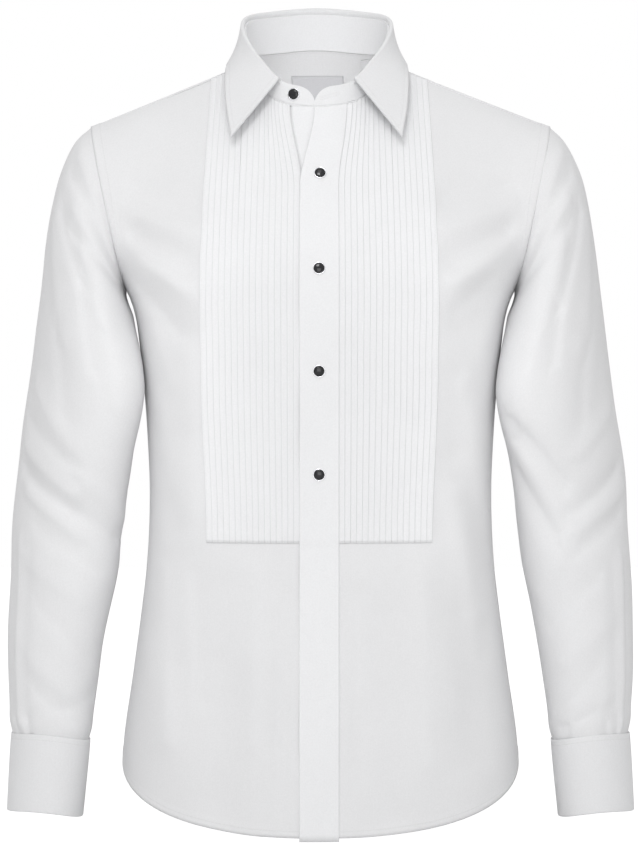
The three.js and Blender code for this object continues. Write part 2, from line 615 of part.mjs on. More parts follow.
const yokeHalf = [...steps(7).map((t) => t * NECK_Q), ...steps(6).slice(1).map((t) => lerp(NECK_Q, 1, t))];
const yokeColumns = [...yokeHalf.slice(1).map((q) => -q).reverse(), ...yokeHalf];
const yokeGrid = sheet(yoke, yokeColumns, steps(YOKE_ROWS));
drawIn(yokeGrid, { ...sideInsets, bottom: SEAM, top: SHOULDER_INSET });
add("yoke", wall(yokeGrid), fused);

// Blank label and size tab, sewn inside the yoke
function insideTab(name, { atB, halfB, top, bottom }, columns, rows, look) {
  const bs = steps(columns).map((t) => atB + lerp(halfB, -halfB, t));
  const zs = steps(rows).map((t) => lerp(bottom, top, t));
  const grid = sheet(yokeAtZ, bs, zs);
  add(name, wall(grid, { outer: -INSIDE_TAB.outer, inner: -INSIDE_TAB.inner }), look);
}
insideTab("neck_label", LABEL, 6, 3, satin);
insideTab("size_tab", SIZE_TAB, 2, 1, satin);

// Sleeves, whose first ring follows the armhole's own points
const armholeAngles = [
  ...steps(UPPER_ROWS).map((t) => lerp(SHOULDER_ANGLE, 180, t)),
  ...steps(UPPER_ROWS)
    .slice(1)
    .map((t) => lerp(180, 360 + YOKE_ANGLE, t)),
  ...steps(YOKE_ROWS)
    .slice(1, -1)
    .map((t) => lerp(360 + YOKE_ANGLE, 360 + SHOULDER_ANGLE, t)),
];
const sleeveRings = [0, 0.5, ...steps(18).map((t) => lerp(1, SLEEVE_END, t))];

function sleeveTube(name, side) {
  const grid = sleeveRings.map((s) => armholeAngles.map((angle) => sleeve(s, angle, side)));
  if (side < 0) grid.forEach((line) => line.reverse());
  add(`sleeve_${name}`, wall(grid, { closed: true }), cotton);
}

function gauntlet(name, side) {
  const angles = steps(4).map((t) => GAUNTLET.angle + lerp(-GAUNTLET.spread, GAUNTLET.spread, t));
  const rings = [GAUNTLET.fromS, ...sleeveRings.filter((s) => s > GAUNTLET.fromS + 0.3 && s < 16.5), GAUNTLET.toS];
  const grid = rings.map((s) => angles.map((angle) => sleeve(s, angle, side)));
  if (side < 0) grid.forEach((line) => line.reverse());
  add(`sleeve_placket_${name}`, wall(grid, { inner: 1.1, outer: 2.1 }), cotton);
}

// Cuff: two layers that meet in a rounded fold at the wrist's edge, wound round so that its ends overlap
function cuffPoint(angle, share, out, side) {
  const found = tubePoint(CUFF, clamp01(share), angle, side);
  const axis = (s) => tubePoint(CUFF, s, 0, side).lerp(tubePoint(CUFF, s, 180, side), 0.5);
  const outward = found.clone().sub(axis(clamp01(share))).normalize();
  const down = axis(1).sub(axis(0));
  const past = share - clamp01(share);
  return found.addScaledVector(outward, out).addScaledVector(down, past);
}

function cuff(name, side) {
  const { apart, wall: layer } = CUFF_LAYER;
  const profile = [
    { share: 0, out: 0 },
    { share: 0.5, out: 0 },
    { share: 1, out: 0 },
    { share: 1.012, out: 0.5 },
    { share: 1.012, out: 0.5 + apart - 1 },
    { share: 1, out: apart },
    { share: 0.5, out: apart + 0.3 },
    { share: -0.02, out: apart + 0.8 },
  ];
  const turns = steps(22);
  const grid = profile.map((row) =>
    turns.map((t) => {
      const angle = CUFF_TURN.from + CUFF_TURN.round * t;
      return cuffPoint(angle, row.share, row.out + CUFF_SPIRAL * (CUFF_TURN.round / 360) * t, side);
    }),
  );
  if (side < 0) grid.forEach((line) => line.reverse());
  add(`cuff_${name}`, wall(grid, { outer: layer / 2, inner: -layer / 2 }), fused);
}

for (const { name, side } of SIDES) {
  sleeveTube(name, side);
  gauntlet(name, side);
  cuff(name, side);
}

// Collar stand, a band up from the neck seam whose rounded left end lies over the right end
function standBase(b) {
  const apart = STAND_END.apart * smooth((Math.abs(b) - FALL_END) / 28);
  const found = neckSeam(b);
  found.y -= b > 0 ? apart : -apart * 0.6;
  return found;
}

function standHeight(b) {
  const end = b > 0 ? STAND_END.left : STAND_END.right;
  const length = (NECK.halfWidth * (end - Math.abs(b)) * DEG) / STAND_END.round;
  const round = length < 1 ? Math.sqrt(Math.max(0.02, 1 - (1 - length) ** 2)) : 1;
  return rowAt(STAND, "b", Math.abs(b)).height * round;
}

function standPoint(b, share) {
  const { lean, height, inward } = rowAt(STAND, "b", Math.abs(b));
  const rise = point(-Math.sign(b) * inward, lean, height).normalize();
  return standBase(b).addScaledVector(rise, lerp(STAND_LIFT, standHeight(b), share));
}

const endColumns = (end) => steps(6).map((t) => lerp(end, FALL_END, t ** 1.6));
const fallColumns = steps(24).map((t) => lerp(FALL_END, -FALL_END, t));
const standColumns = [
  ...endColumns(STAND_END.left).slice(0, -1),
  ...fallColumns,
  ...endColumns(STAND_END.right).reverse().slice(1).map((b) => -b),
];
const collarFaces = { outer: COLLAR_WALL / 2, inner: -COLLAR_WALL / 2 };
add("collar_stand", wall(sheet(standPoint, standColumns, steps(2)), collarFaces), fused);

// Collar fall: up from the stand, over the roll and down to its edge on the shoulders and chest
function offTheFront(p) {
  const q = p.x / BIB_HALF.shoulder;
  const edge = Math.abs(p.x) < Math.abs(neckSeam(Math.sign(p.x) * SHOULDER_B).x) ? frontTop(p.x).z : 9;
  if (p.z > edge || Math.abs(q) > 1) return p;
  const surface = front(q, frontV(q, p.z));
  p.y = Math.min(p.y, surface.y - FALL_CLEAR);
  return p;
}

function fallColumn(b) {
  const side = b < 0 ? -1 : 1;
  const share = Math.abs(b) / FALL_END;
  const roll = lerp(ROLL.back, ROLL.front, share);
  const start = standPoint(b, 1);
  const up = start.clone().sub(standPoint(b, 0.5)).normalize();
  const out = point(Math.sin(b * DEG), Math.cos(b * DEG), 0);
  const place = (rise, outward) => start.clone().addScaledVector(up, rise).addScaledVector(out, outward);
  const rolled = [place(SEAM + 0.1, 0), place(roll * 0.6, 0), place(roll, ROLL.out * 0.5), place(roll * 0.6, ROLL.out)];
  const edge = rowAt(FALL_EDGE, "b", Math.abs(b));
  const end = point(side * edge.x + COLLAR_SHIFT, edge.y, edge.z);
  const length = end.distanceTo(rolled[3]);
  const straight = end.clone().sub(rolled[3]);
  const leave = point(0, 0, -length * 0.9).addScaledVector(out, length * 0.12);
  leave.lerp(straight, smooth((Math.abs(b) - 105) / (FALL_END - 105)));
  const arrive = straight.clone().addScaledVector(out, length * 0.15 * (1 - share ** 4));
  const falling = steps(5)
    .slice(1)
    .map((t) => offTheFront(hermite(rolled[3], leave, end, arrive, t)));
  return [...rolled, ...falling];
}
const fallLines = fallColumns.map(fallColumn);
const fallGrid = fallLines[0].map((_, j) => fallLines.map((line) => line[j]));
add("collar_fall", wall(fallGrid, collarFaces), fused);

// Studs and links: a dished rim with a domed face in it, on an outward axis
const rimProfile = [
  { r: 0, h: 0 },
  { r: STUD.rim - 0.4, h: 0 },
  { r: STUD.rim, h: 0.5 },
  { r: STUD.rim, h: 1.3 },
  { r: STUD.rim - 0.5, h: 1.8 },
  { r: STUD.face + SEAM, h: 1.6 },
  { r: STUD.face + SEAM, h: 0.6 },
  { r: 0, h: 0.6 },
];
const faceProfile = [
  { r: 0, h: 0.6 + SEAM },
  { r: STUD.face, h: 0.6 + SEAM },
  { r: STUD.face, h: 1.7 },
  { r: STUD.face * 0.7, h: 2.5 },
  { r: 0, h: 2.9 },
];
function stud(names, seat, outward) {
  const parts = [add(names[0], turned(rimProfile), silver), add(names[1], turned(faceProfile), onyx)];
  for (const mesh of parts) {
    mesh.position.copy(seat).addScaledVector(outward, STUD.off);
    mesh.quaternion.setFromUnitVectors(point(0, 0, 1), outward);
  }
}

function outwardAt(surface, a, b, step) {
  const across = surface(a + step, b).sub(surface(a - step, b));
  const up = surface(a, b + 0.01).sub(surface(a, b - 0.01));
  return across.cross(up).normalize();
}

STUD_HEIGHTS.forEach((z, n) => {
  const v = frontV(0, z);
  const surface = (x, at) => frontAtX(x, at, placketShift(x));
  const outward = outwardAt(surface, STUD.x, v, 1);
  const seat = surface(STUD.x, v).addScaledVector(outward, placketFaces.outer);
  stud([`stud_rim_${n + 1}`, `stud_face_${n + 1}`], seat, outward);
});

const collarOut = outwardAt(standPoint, COLLAR_STUD.b, COLLAR_STUD.up, -1);
const collarSeat = standPoint(COLLAR_STUD.b, COLLAR_STUD.up).addScaledVector(collarOut, COLLAR_WALL / 2);
stud(["collar_stud_rim", "collar_stud_face"], collarSeat, collarOut);

for (const { name, side } of SIDES) {
  const spiral = CUFF_SPIRAL * ((360 + LINK.angle - CUFF_TURN.from) / 360);
  const layers = CUFF_LAYER.apart + CUFF_LAYER.wall + spiral + 0.3;
  const seat = cuffPoint(LINK.angle, LINK.share, layers, side);
  const outward = seat.clone().sub(cuffPoint(LINK.angle, LINK.share, 0, side)).normalize();
  stud([`cuff_link_rim_${name}`, `cuff_link_face_${name}`], seat, outward);
}

export default shirt;
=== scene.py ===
"""Evening dress shirt with a tucked bib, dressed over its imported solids.

Lengths are in millimetres up to the point where a mesh is made, and in metres from there on."""

import math

import bpy
import numpy as np
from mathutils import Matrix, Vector


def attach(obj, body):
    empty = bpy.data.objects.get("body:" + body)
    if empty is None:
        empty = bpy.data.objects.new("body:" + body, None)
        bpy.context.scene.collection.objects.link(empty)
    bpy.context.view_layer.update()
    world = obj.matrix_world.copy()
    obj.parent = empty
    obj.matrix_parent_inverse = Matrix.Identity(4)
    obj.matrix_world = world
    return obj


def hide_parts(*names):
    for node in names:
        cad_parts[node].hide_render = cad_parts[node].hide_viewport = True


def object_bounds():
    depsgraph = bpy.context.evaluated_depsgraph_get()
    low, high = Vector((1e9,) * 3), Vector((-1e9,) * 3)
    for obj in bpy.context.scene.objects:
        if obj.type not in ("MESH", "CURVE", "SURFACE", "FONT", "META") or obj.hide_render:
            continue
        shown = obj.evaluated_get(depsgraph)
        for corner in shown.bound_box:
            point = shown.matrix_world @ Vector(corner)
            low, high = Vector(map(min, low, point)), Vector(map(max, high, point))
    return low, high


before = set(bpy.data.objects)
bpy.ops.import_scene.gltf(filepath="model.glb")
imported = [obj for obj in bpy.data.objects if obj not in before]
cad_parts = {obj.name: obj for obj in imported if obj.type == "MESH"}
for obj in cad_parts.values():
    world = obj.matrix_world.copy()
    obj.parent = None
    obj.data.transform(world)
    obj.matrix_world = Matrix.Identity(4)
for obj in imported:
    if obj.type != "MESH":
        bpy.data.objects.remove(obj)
cad_low, cad_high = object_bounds()

MM = 0.001
SIDES = (("left", 1), ("right", -1))

# Levels and lines of the body's cut, as in the solids. LOWER is the share of a panel below the armpits.
ARMPIT_Z = -206
BIB_BOTTOM_Z = -451
HEM = {"front": -726, "back": -744, "side": -660, "curve": 1.75}
PLACKET_HALF = 18.6
BIB_HALF = {"chest": 111, "waist": 106, "shoulder": 105}
FRONT_SHIFT = -1.3
TUCKS = 16
OPEN = {"from": -118, "to": -38, "fade": 44, "right": -13, "left": 9, "placket_edge": 13.6}
ROUNDNESS = 2.6
LOWER = 0.66

# Rings of the body: half width, and depths to the front and back
BODY = {
    "z": [-760, -655, -580, -520, -465, -405, -345, -300, -255, -222, -206],
    "width": [194, 192, 182, 174, 168, 166, 168.5, 172, 176.5, 179.5, 190],
    "front": [124, 123, 119, 115, 113, 113, 116, 120, 124, 125.5, 126],
    "back": [120, 117, 111, 104, 98, 95, 98, 103, 108, 110, 111],
}

# Rings of a sleeve: its outer and inner points and half its depth
SLEEVE = {
    "s": list(range(18)),
    "out_x": [224, 240, 254.3, 262, 267.6, 272.4, 277, 281.5, 287.6, 293.8, 298.5, 301, 302.8, 304.2, 304.4,
              303.4, 301, 297.5],
    "out_y": [0, 0, 0, 0, 0, 1, 2, 3, 5, 7, 8, 7, 3, -2, -8, -14, -19, -22],
    "out_z": [-49, -65.7, -95, -124.5, -160, -198, -235, -273, -315.6, -356, -395, -433, -472, -511, -550,
              -587, -616, -640],
    "in_x": [190, 190.5, 188.5, 185, 182, 178, 173.5, 170.5, 173.5, 181.5, 188, 191.8, 196, 204, 211.5, 217,
             221, 225.6],
    "in_y": [0, -8, -16, -24, -32, -40, -46, -50, -46, -36, -26, -20, -20, -22, -26, -30, -34, -36],
    "in_z": [-206, -213, -221, -231, -246, -266, -288, -310, -338, -369, -403, -438, -476, -515, -555, -593,
             -623, -647],
    "half": [60, 61, 62, 62, 61, 60, 59, 58, 57, 56, 55, 54, 53, 51, 48, 45, 42, 38.5],
}
SLEEVE_END = 17
SHOULDER_ANGLE = 12
YOKE_ANGLE = -48
GAUNTLET = {"angle": -62, "spread": 15, "from_s": 13.4, "to_s": 16.9}

CUFF = {
    "s": [0, 1],
    "out_x": [298.6, 301.8],
    "out_y": [-22, -26],
    "out_z": [-638.8, -711],
    "in_x": [225.4, 232.4],
    "in_y": [-37, -41],
    "in_z": [-643.8, -715],
    "half": [38.6, 36.8],
}
# A cuff's layers lie apart, and it winds outward by its spiral in a full turn
CUFF_TURN = {"from": -80, "round": 396}
CUFF_SPIRAL = 2.6
CUFF_APART = 1.2
CUFF_LEVEL = 4.5

# How the sleeve's end goes down into the cuff: way down and way in
SLEEVE_TUCK = [(2.0, 1.0), (5.0, 1.7), (8.0, 1.9)]

# Fullness of the sleeve under the arm, of the body beside it, and of the sleeve above the cuff
UNDERARM = [
    # ring, rings to each side, angle, angle to each side, height
    (4.8, 1.6, 184, 32, 3.6),
    (2.6, 1.2, 190, 30, 4.0),
    (5.0, 2.2, 160, 20, 3.0),
]
BODY_SIDE = {"z": -224, "length": 24, "height": 2.0}
BLOUSE = {"s": 16.4, "width": 0.45, "height": 1.4}

# Collar: b is an angle around the neck, 0 at the back and 180 at the front
COLLAR_SHIFT = -3.6
NECK = {"half_width": 70, "mid_y": -5, "half_depth": 65, "mid_z": -0.5, "tilt": 35.5, "arch": 16}
SHOULDER_B = 97
STAND = {
    "b": [-45, 0, 45, 90, 130, 150, 185],
    "height": [36, 36, 36, 31.5, 25, 19.5, 18.5],
    "lean": [-6.5, -8, -6.5, -3, -2, -1, -1],
    "inward": [0, 0, 0, 0, 3.4, 0.8, 0],
}
STAND_LIFT = 0.2
STAND_LAP = {"down": 2.2, "out": 1.2}
BUTTONHOLE = {"b": [176.5, 163.5], "share": [0.5, 0.56]}
STAND_END = {"left": 182, "right": 179, "round": 18, "apart": 1.5}
FALL_END = 150
ROLL = {"back": 6, "front": 2.2, "out": 2.6, "behind": 1.3}
FALL_EDGE = {
    "b": [-40, 0, 40, 70, 95, 118, 135, 150],
    "x": [-49, 0, 49, 76.5, 86.5, 88.4, 86.6, 81],
    "y": [62, 75, 62, 36, 2, -38, -64, -88],
    "z": [28, 31, 28, 23, 16, -4.5, -34, -67],
}
FALL_CLEAR = 6

# Yoke, label and size tab
YOKE = {"z": -75, "depth": 100, "reach": 234.7, "half_width": 218.4}
NECK_Q = 0.48
NECK_FULLNESS = {"x": 84, "width": 30, "back": 9, "up": 3}
LABEL = {"at": 0, "half": 23, "top": 11, "bottom": -36}
SIZE_TAB = {"at": 45, "half": 5, "top": 25, "bottom": 15}

# Thickness of the cloth as it is seen, and how far each sewn-on layer stands out from its panel's middle
SHEET = 0.8
BIB_FACES = (0.45, 1.15)
PLACKET_FACES = {"left": (0.5, 1.35), "right": (0.6, 2.0)}
BIB_LIFT = 0.85
TUCK_RISE = 1.3
UNDER_PLACKET = 2.5
BAND_FACES = (-1.7, -0.7)
GAUNTLET_FACES = {"inner": 0.5, "outer": 1.5}
CUFF_FACES = {"inner": -0.5, "outer": 0.5}
COLLAR_FACES = {"inner": -0.8, "outer": 0.8}
LABEL_FACES = {"inner": -1.7, "outer": -1.0}
SEAM_STRIP = {"width": 9.5, "rise": 0.45}
HEM_STRIP = {"width": 6.5, "rise": 0.4}

# Folds of the body seen from the front or back: ends, half width and height, troughs negative. The collar's
# fall lies on the main ones alone.
FRONT_FOLDS = [
    # from x, from z, to x, to z, width, height
    (-182, -112, -118, -132, 13, -3.6),
    (-180, -136, -120, -158, 12, 2.6),
    (-178, -158, -126, -186, 13, -4.4),
    (-172, -186, -128, -212, 12, 2.6),
    (-162, -216, -130, -252, 17, -4.6),
    (-150, -262, -136, -350, 20, -3.4),
    (-128, -270, -118, -420, 14, 2.0),
    (-150, -420, -140, -560, 18, -3.2),
    (-158, -560, -150, -640, 15, 2.2),
    (-122, -470, -104, -560, 20, -2.6),
    (-92, -500, -98, -690, 22, -2.8),
    (-60, -560, -66, -720, 18, 2.2),
    (-34, -500, -36, -640, 12, -1.6),
    (36, -500, 38, -660, 13, -1.8),
    (62, -520, 70, -700, 20, -2.8),
    (98, -470, 120, -600, 20, 2.4),
    (122, -300, 116, -440, 16, -2.4),
    (130, -370, 168, -474, 16, -4.0),
    (126, -410, 150, -520, 12, 2.4),
    (136, -520, 148, -650, 20, -3.2),
    (148, -256, 136, -340, 20, -3.6),
    (160, -212, 130, -248, 17, -4.6),
    (172, -182, 130, -206, 12, 2.6),
    (180, -154, 126, -180, 13, -4.4),
    (182, -130, 122, -152, 12, 2.6),
    (184, -108, 120, -128, 13, -3.6),
]
BACK_FOLDS = [
    (-60, -300, -78, -560, 26, -4),
    (58, -290, 80, -560, 26, -4),
    (-128, -240, -96, -400, 22, -3),
    (130, -250, 100, -410, 22, -3),
    (-110, -120, -150, -210, 12, -1.6),
    (112, -116, 152, -206, 12, -1.6),
    (-20, -90, -26, -240, 10, 1.2),
    (18, -92, 26, -260, 10, 1.2),
    (-90, -330, -70, -600, 10, 1.6),
    (88, -340, 72, -610, 10, 1.6),
    (-40, -420, -48, -660, 10, -1.4),
    (36, -430, 44, -670, 10, -1.4),
    (-130, -460, -138, -620, 12, 1.4),
    (134, -450, 140, -610, 12, 1.4),
    (-60, -400, 60, -430, 12, -1.2),
]
FINE_FRONT_FOLDS = [
    (-188, -165, -122, -222, 7, 1.6),
    (-190, -186, -134, -252, 8, -1.8),
    (-176, -214, -140, -300, 8, 1.4),
    (-166, -330, -136, -440, 10, -1.5),
    (-150, -480, -142, -640, 9, 1.5),
    (-118, -480, -112, -600, 8, -1.2),
    (-60, -478, -64, -640, 9, 1.3),
    (-38, -520, -40, -700, 8, -1.0),
    (40, -478, 42, -590, 8, 1.1),
    (96, -480, 104, -660, 9, 1.4),
    (150, -430, 158, -560, 9, -1.6),
    (138, -300, 160, -420, 9, 1.5),
    (176, -220, 138, -300, 9, 1.4),
    (186, -176, 126, -232, 8, -1.8),
    (190, -160, 128, -204, 7, 1.6),
    (120, -120, 150, -100, 10, -1.2),
    (-118, -118, -152, -96, 10, -1.2),
]

# A sleeve's fold is narrower on its steep side. Both shares are of its half width.
FOLD_SIDES = {"steep": 0.8, "slow": 1.4}

# Folds of each sleeve: ends by ring and angle, half width and height
SLEEVE_FOLDS = {
    "right": [
        # from ring, from angle, to ring, to angle, width, height
        (0.9, 40, 0.45, 128, 6, 1.4),
        (1.5, 44, 0.95, 132, 7, -1.9),
        (2.2, 66, 1.3, 146, 6, 1.5),
        (2.9, 70, 1.9, 150, 6, -2.0),
        (2.7, 46, 4.1, 89, 9, -2.6),
        (4.1, 89, 6.7, 102, 9, -2.5),
        (2.9, 84, 4.9, 112, 7, 1.6),
        (5.0, 118, 7.6, 128, 9, 1.2),
        (3.0, 30, 6.2, 66, 9, 1.5),
        (6.0, 58, 8.2, 78, 10, -1.6),
        (7.6, 36, 9.0, 88, 8, 1.4),
        (8.5, 36, 9.4, 92, 8, -2.0),
        (9.1, 34, 10.2, 96, 7, 2.0),
        (9.7, 34, 10.7, 100, 7, -3.2),
        (10.7, 100, 11.3, 156, 8, -2.7),
        (10.2, 44, 11.3, 108, 7, 2.0),
        (9.9, 110, 10.8, 168, 8, 1.9),
        (11.2, 66, 12.1, 132, 9, -1.6),
        (12.0, 52, 12.9, 120, 9, 1.2),
        (13.0, 70, 14.2, 136, 10, -1.4),
        (11.4, 38, 16.6, 46, 3.4, 1.4),
        (11.6, 52, 16.2, 60, 6, -0.9),
        (14.4, 66, 15.4, 132, 9, 1.4),
        (15.2, 76, 16.0, 122, 8, -1.6),
        (15.7, 112, 15.2, 160, 7, -1.6),
        (16.0, 120, 16.6, 138, 6, 1.2),
        (16.2, 34, 16.9, 50, 3.6, -1.2),
        (16.1, 60, 16.9, 64, 3.6, -1.4),
        (16.3, 50, 16.9, 56, 3.4, 0.9),
        (10.8, 200, 11.9, 262, 8, 1.9),
        (11.6, 190, 12.6, 250, 8, -2.1),
        (10.3, 196, 11.2, 256, 10, -2.2),
        (9.2, 210, 10.4, 268, 8, 1.4),
        (2.4, 222, 5.2, 268, 12, -2.7),
        (2.0, 236, 4.4, 276, 7, 1.6),
        (3.4, 214, 6.4, 252, 8, -1.6),
        (14.4, 236, 16.2, 282, 8, -1.5),
    ],
    "left": [
        (0.9, 38, 0.4, 120, 6, 1.5),
        (1.5, 42, 0.9, 128, 7, -2.1),
        (2.0, 60, 1.3, 140, 6, 1.6),
        (2.6, 66, 1.9, 148, 7, -1.6),
        (2.7, 46, 4.9, 89, 9, -2.7),
        (4.9, 89, 6.6, 96, 8, -2.5),
        (3.1, 78, 5.2, 104, 7, 1.5),
        (5.4, 112, 8.0, 132, 9, 1.4),
        (3.4, 30, 6.6, 62, 9, 1.4),
        (6.4, 56, 8.4, 74, 10, -1.5),
        (8.2, 34, 9.2, 84, 8, 1.4),
        (8.0, 146, 9.9, 100, 8, -2.7),
        (8.8, 150, 10.5, 108, 7, 2.0),
        (9.4, 158, 11.2, 116, 8, -2.5),
        (9.7, 36, 10.6, 88, 8, -2.5),
        (10.2, 30, 11.2, 92, 7, 1.7),
        (10.9, 40, 11.8, 100, 8, -1.9),
        (11.6, 96, 12.6, 150, 9, 1.5),
        (12.4, 76, 13.4, 138, 9, -1.5),
        (13.4, 60, 14.4, 124, 9, 1.2),
        (11.8, 41, 16.7, 48, 3.4, 1.4),
        (12.0, 55, 16.2, 62, 6, -0.9),
        (14.4, 80, 15.6, 136, 8, -1.6),
        (15.4, 70, 16.0, 130, 7, 1.4),
        (15.8, 92, 16.3, 140, 6, -1.5),
        (16.1, 52, 16.9, 56, 3.6, -1.2),
        (16.2, 72, 16.9, 74, 3.6, -1.4),
        (16.3, 128, 16.9, 130, 3.6, -1.0),
        (10.6, 204, 11.7, 266, 8, 1.9),
        (11.3, 196, 12.3, 254, 8, -2.1),
        (9.9, 200, 10.9, 260, 10, -2.2),
        (2.6, 220, 5.4, 266, 12, -2.7),
        (2.2, 238, 4.6, 278, 7, 1.6),
        (3.6, 212, 6.6, 250, 8, -1.6),
        (14.2, 238, 16.0, 284, 8, -1.5),
    ],
}


def lerp(a, b, t):
    return a + (b - a) * t


def smooth(t):
    t = np.clip(t, 0, 1)
    return t * t * (3 - 2 * t)


def together(*values):
    """The values as arrays of one shape."""
    return np.broadcast_arrays(*(np.asarray(value, float) for value in values))


def vec(x, y, z):
    return np.stack(together(x, y, z), axis=-1)


def rows_at(table, key, at):
    """Smooth values of a table's columns, at values of its key column."""
    keys = np.asarray(table[key], float)
    at = np.asarray(at, float)
    i = np.clip(np.searchsorted(keys, at, side="left") - 1, 0, len(keys) - 2)
    before, after = np.maximum(i - 1, 0), np.minimum(i + 2, len(keys) - 1)
    span = keys[i + 1] - keys[i]
    t = np.clip((at - keys[i]) / span, 0, 1)
    found = {}
    for name, column in table.items():
        c = np.asarray(column, float)
        slope_a = (c[i + 1] - c[before]) / (keys[i + 1] - keys[before]) * span
        slope_b = (c[after] - c[i]) / (keys[after] - keys[i]) * span
        found[name] = (
            c[i] * (2 * t**3 - 3 * t**2 + 1)
            + slope_a * (t**3 - 2 * t**2 + t)
            + c[i + 1] * (3 * t**2 - 2 * t**3)
            + slope_b * (t**3 - t**2)
        )
    return found


def hermite(start, leave, end, arrive, t):
    t = np.asarray(t, float)[..., None]
    return (
        start * (2 * t**3 - 3 * t**2 + 1)
        + leave * (t**3 - 2 * t**2 + t)
        + end * (3 * t**2 - 2 * t**3)
        + arrive * (t**3 - t**2)
    )


def way_from(at, start, end):
    """Way to each point from the nearest point of a straight line."""
    along = end - start
    t = np.clip(((at - start) @ along) / (along @ along), 0, 1)
    return at - start - t[..., None] * along


def bent_fold_height(at, line, outward, width, height, side):
    """Height over a fold that follows a line of points, steeper on the side to the right of its way."""
    nearest = np.full(at.shape[:-1], np.inf)
    across = np.zeros(at.shape[:-1])
    for start, end in zip(line[:-1], line[1:]):
        away = way_from(at, start, end)
        gap = np.linalg.norm(away, axis=-1)
        steep = np.sum(away * np.cross(end - start, outward), axis=-1) * side < 0
        reach = width * np.where(steep, FOLD_SIDES["steep"], FOLD_SIDES["slow"])
        across = np.where(gap < nearest, gap / reach, across)
        nearest = np.minimum(gap, nearest)
    return height * np.exp(-(across**2))


def body_fold(folds, at):
    flat = at * np.array([1, 0, 1])
    total = np.zeros(at.shape[:-1])
    for x0, z0, x1, z1, width, height in folds:
        gap = np.linalg.norm(way_from(flat, vec(x0, 0, z0), vec(x1, 0, z1)), axis=-1)
        total += height * np.exp(-((gap / width) ** 2))
    return total


def ripple(at, size, height, seed=0.0):
    """A slow unevenness of the cloth, from a few crossing waves."""
    x, y, z = (at[..., i] / size for i in range(3))
    return height * (
        np.sin(1.3 * x + 0.7 * z + seed) * np.sin(0.9 * z - 0.4 * y + 2.1 * seed)
        + 0.6 * np.sin(2.1 * z + 1.1 * x + 1.7 + seed)
        + 0.4 * np.sin(2.9 * x - 1.6 * z + 1.3 * y + 0.6 * seed)
    )


def ring_point(z, turn, face):
    ring = rows_at(BODY, "z", z)
    angle = np.abs(turn) * math.pi / 2
    full = BODY_SIDE["height"] * np.exp(-(((z - BODY_SIDE["z"]) / BODY_SIDE["length"]) ** 2))
    x = np.sign(turn) * (ring["width"] + full) * np.sin(angle) ** (2 / ROUNDNESS)
    depth = ring["front"] if face < 0 else ring["back"]
    return vec(x, face * depth * np.clip(np.cos(angle), 0, None) ** (2 / ROUNDNESS), z)


def turn_of_x(x, z):
    share = np.clip(np.abs(x) / rows_at(BODY, "z", z)["width"], 0, 1)
    return np.sign(x) * np.arcsin(share ** (ROUNDNESS / 2)) * 2 / math.pi


def hem_z(turn, face):
    middle = HEM["front"] if face < 0 else HEM["back"]
    return lerp(middle, HEM["side"], np.abs(turn) ** HEM["curve"])


def tube_point(table, s, angle, side):
    """Point of a sleeve or cuff ring; angle 0 is outermost, 90 to the front and 180 innermost."""
    r = rows_at(table, "s", s)
    c, d = np.cos(np.radians(angle)), np.sin(np.radians(angle))
    t = (1 + c) / 2
    return vec(
        side * lerp(r["in_x"], r["out_x"], t),
        lerp(r["in_y"], r["out_y"], t) - r["half"] * d,
        lerp(r["in_z"], r["out_z"], t),
    )


def armhole(angle, side):
    return tube_point(SLEEVE, np.zeros_like(np.asarray(angle, float)), angle, side)


def neck_seam(b):
    s, c = np.sin(np.radians(b)), np.cos(np.radians(b))
    return vec(
        NECK["half_width"] * s + COLLAR_SHIFT,
        NECK["mid_y"] + NECK["half_depth"] * c,
        NECK["mid_z"] + NECK["tilt"] * c + NECK["arch"] * s**4,
    )


def front_top(x, side):
    inner, outer = neck_seam(side * SHOULDER_B), armhole(SHOULDER_ANGLE, side)
    share = (x - inner[0]) / (outer[0] - inner[0])
    shoulder = lerp(inner, outer, share[..., None])
    b = 180 - np.degrees(np.arcsin(np.clip((x - COLLAR_SHIFT) / NECK["half_width"], -1, 1)))
    return np.where((share > 0)[..., None], shoulder, neck_seam(b))


def eased(edge, at, step):
    """A top edge with the neck's corner eased, from its points at even steps to both sides."""
    weights = (1, 2, 3, 4, 3, 2, 1)
    return sum(edge(at + (i - 3) * step) * weight for i, weight in enumerate(weights)) / sum(weights)


def bib_edge(z):
    return lerp(BIB_HALF["waist"], BIB_HALF["chest"], smooth((z - BIB_BOTTOM_Z) / 160))


def front_lower(q, share):
    def turn_at(z):
        inner = turn_of_x(np.clip(q, -1, 1) * bib_edge(z) + FRONT_SHIFT, z)
        return lerp(inner, np.sign(q), np.clip(np.abs(q) - 1, 0, None))

    z = lerp(hem_z(turn_at(np.full_like(q, HEM["side"])), -1), ARMPIT_Z, share)
    return ring_point(z, turn_at(z), -1)


def softened(surface, v):
    """A surface with the bend at the armpits' height eased, from its points a little up and down."""
    weights = (1, 2, 3, 2, 1)
    step = 0.016
    points = [surface(np.clip(v + (i - 2) * step, 0, 1)) * weight for i, weight in enumerate(weights)]
    near = 1 - smooth((np.abs(v - LOWER) - 0.04) / 0.08)
    return lerp(surface(v), sum(points) / sum(weights), near[..., None])


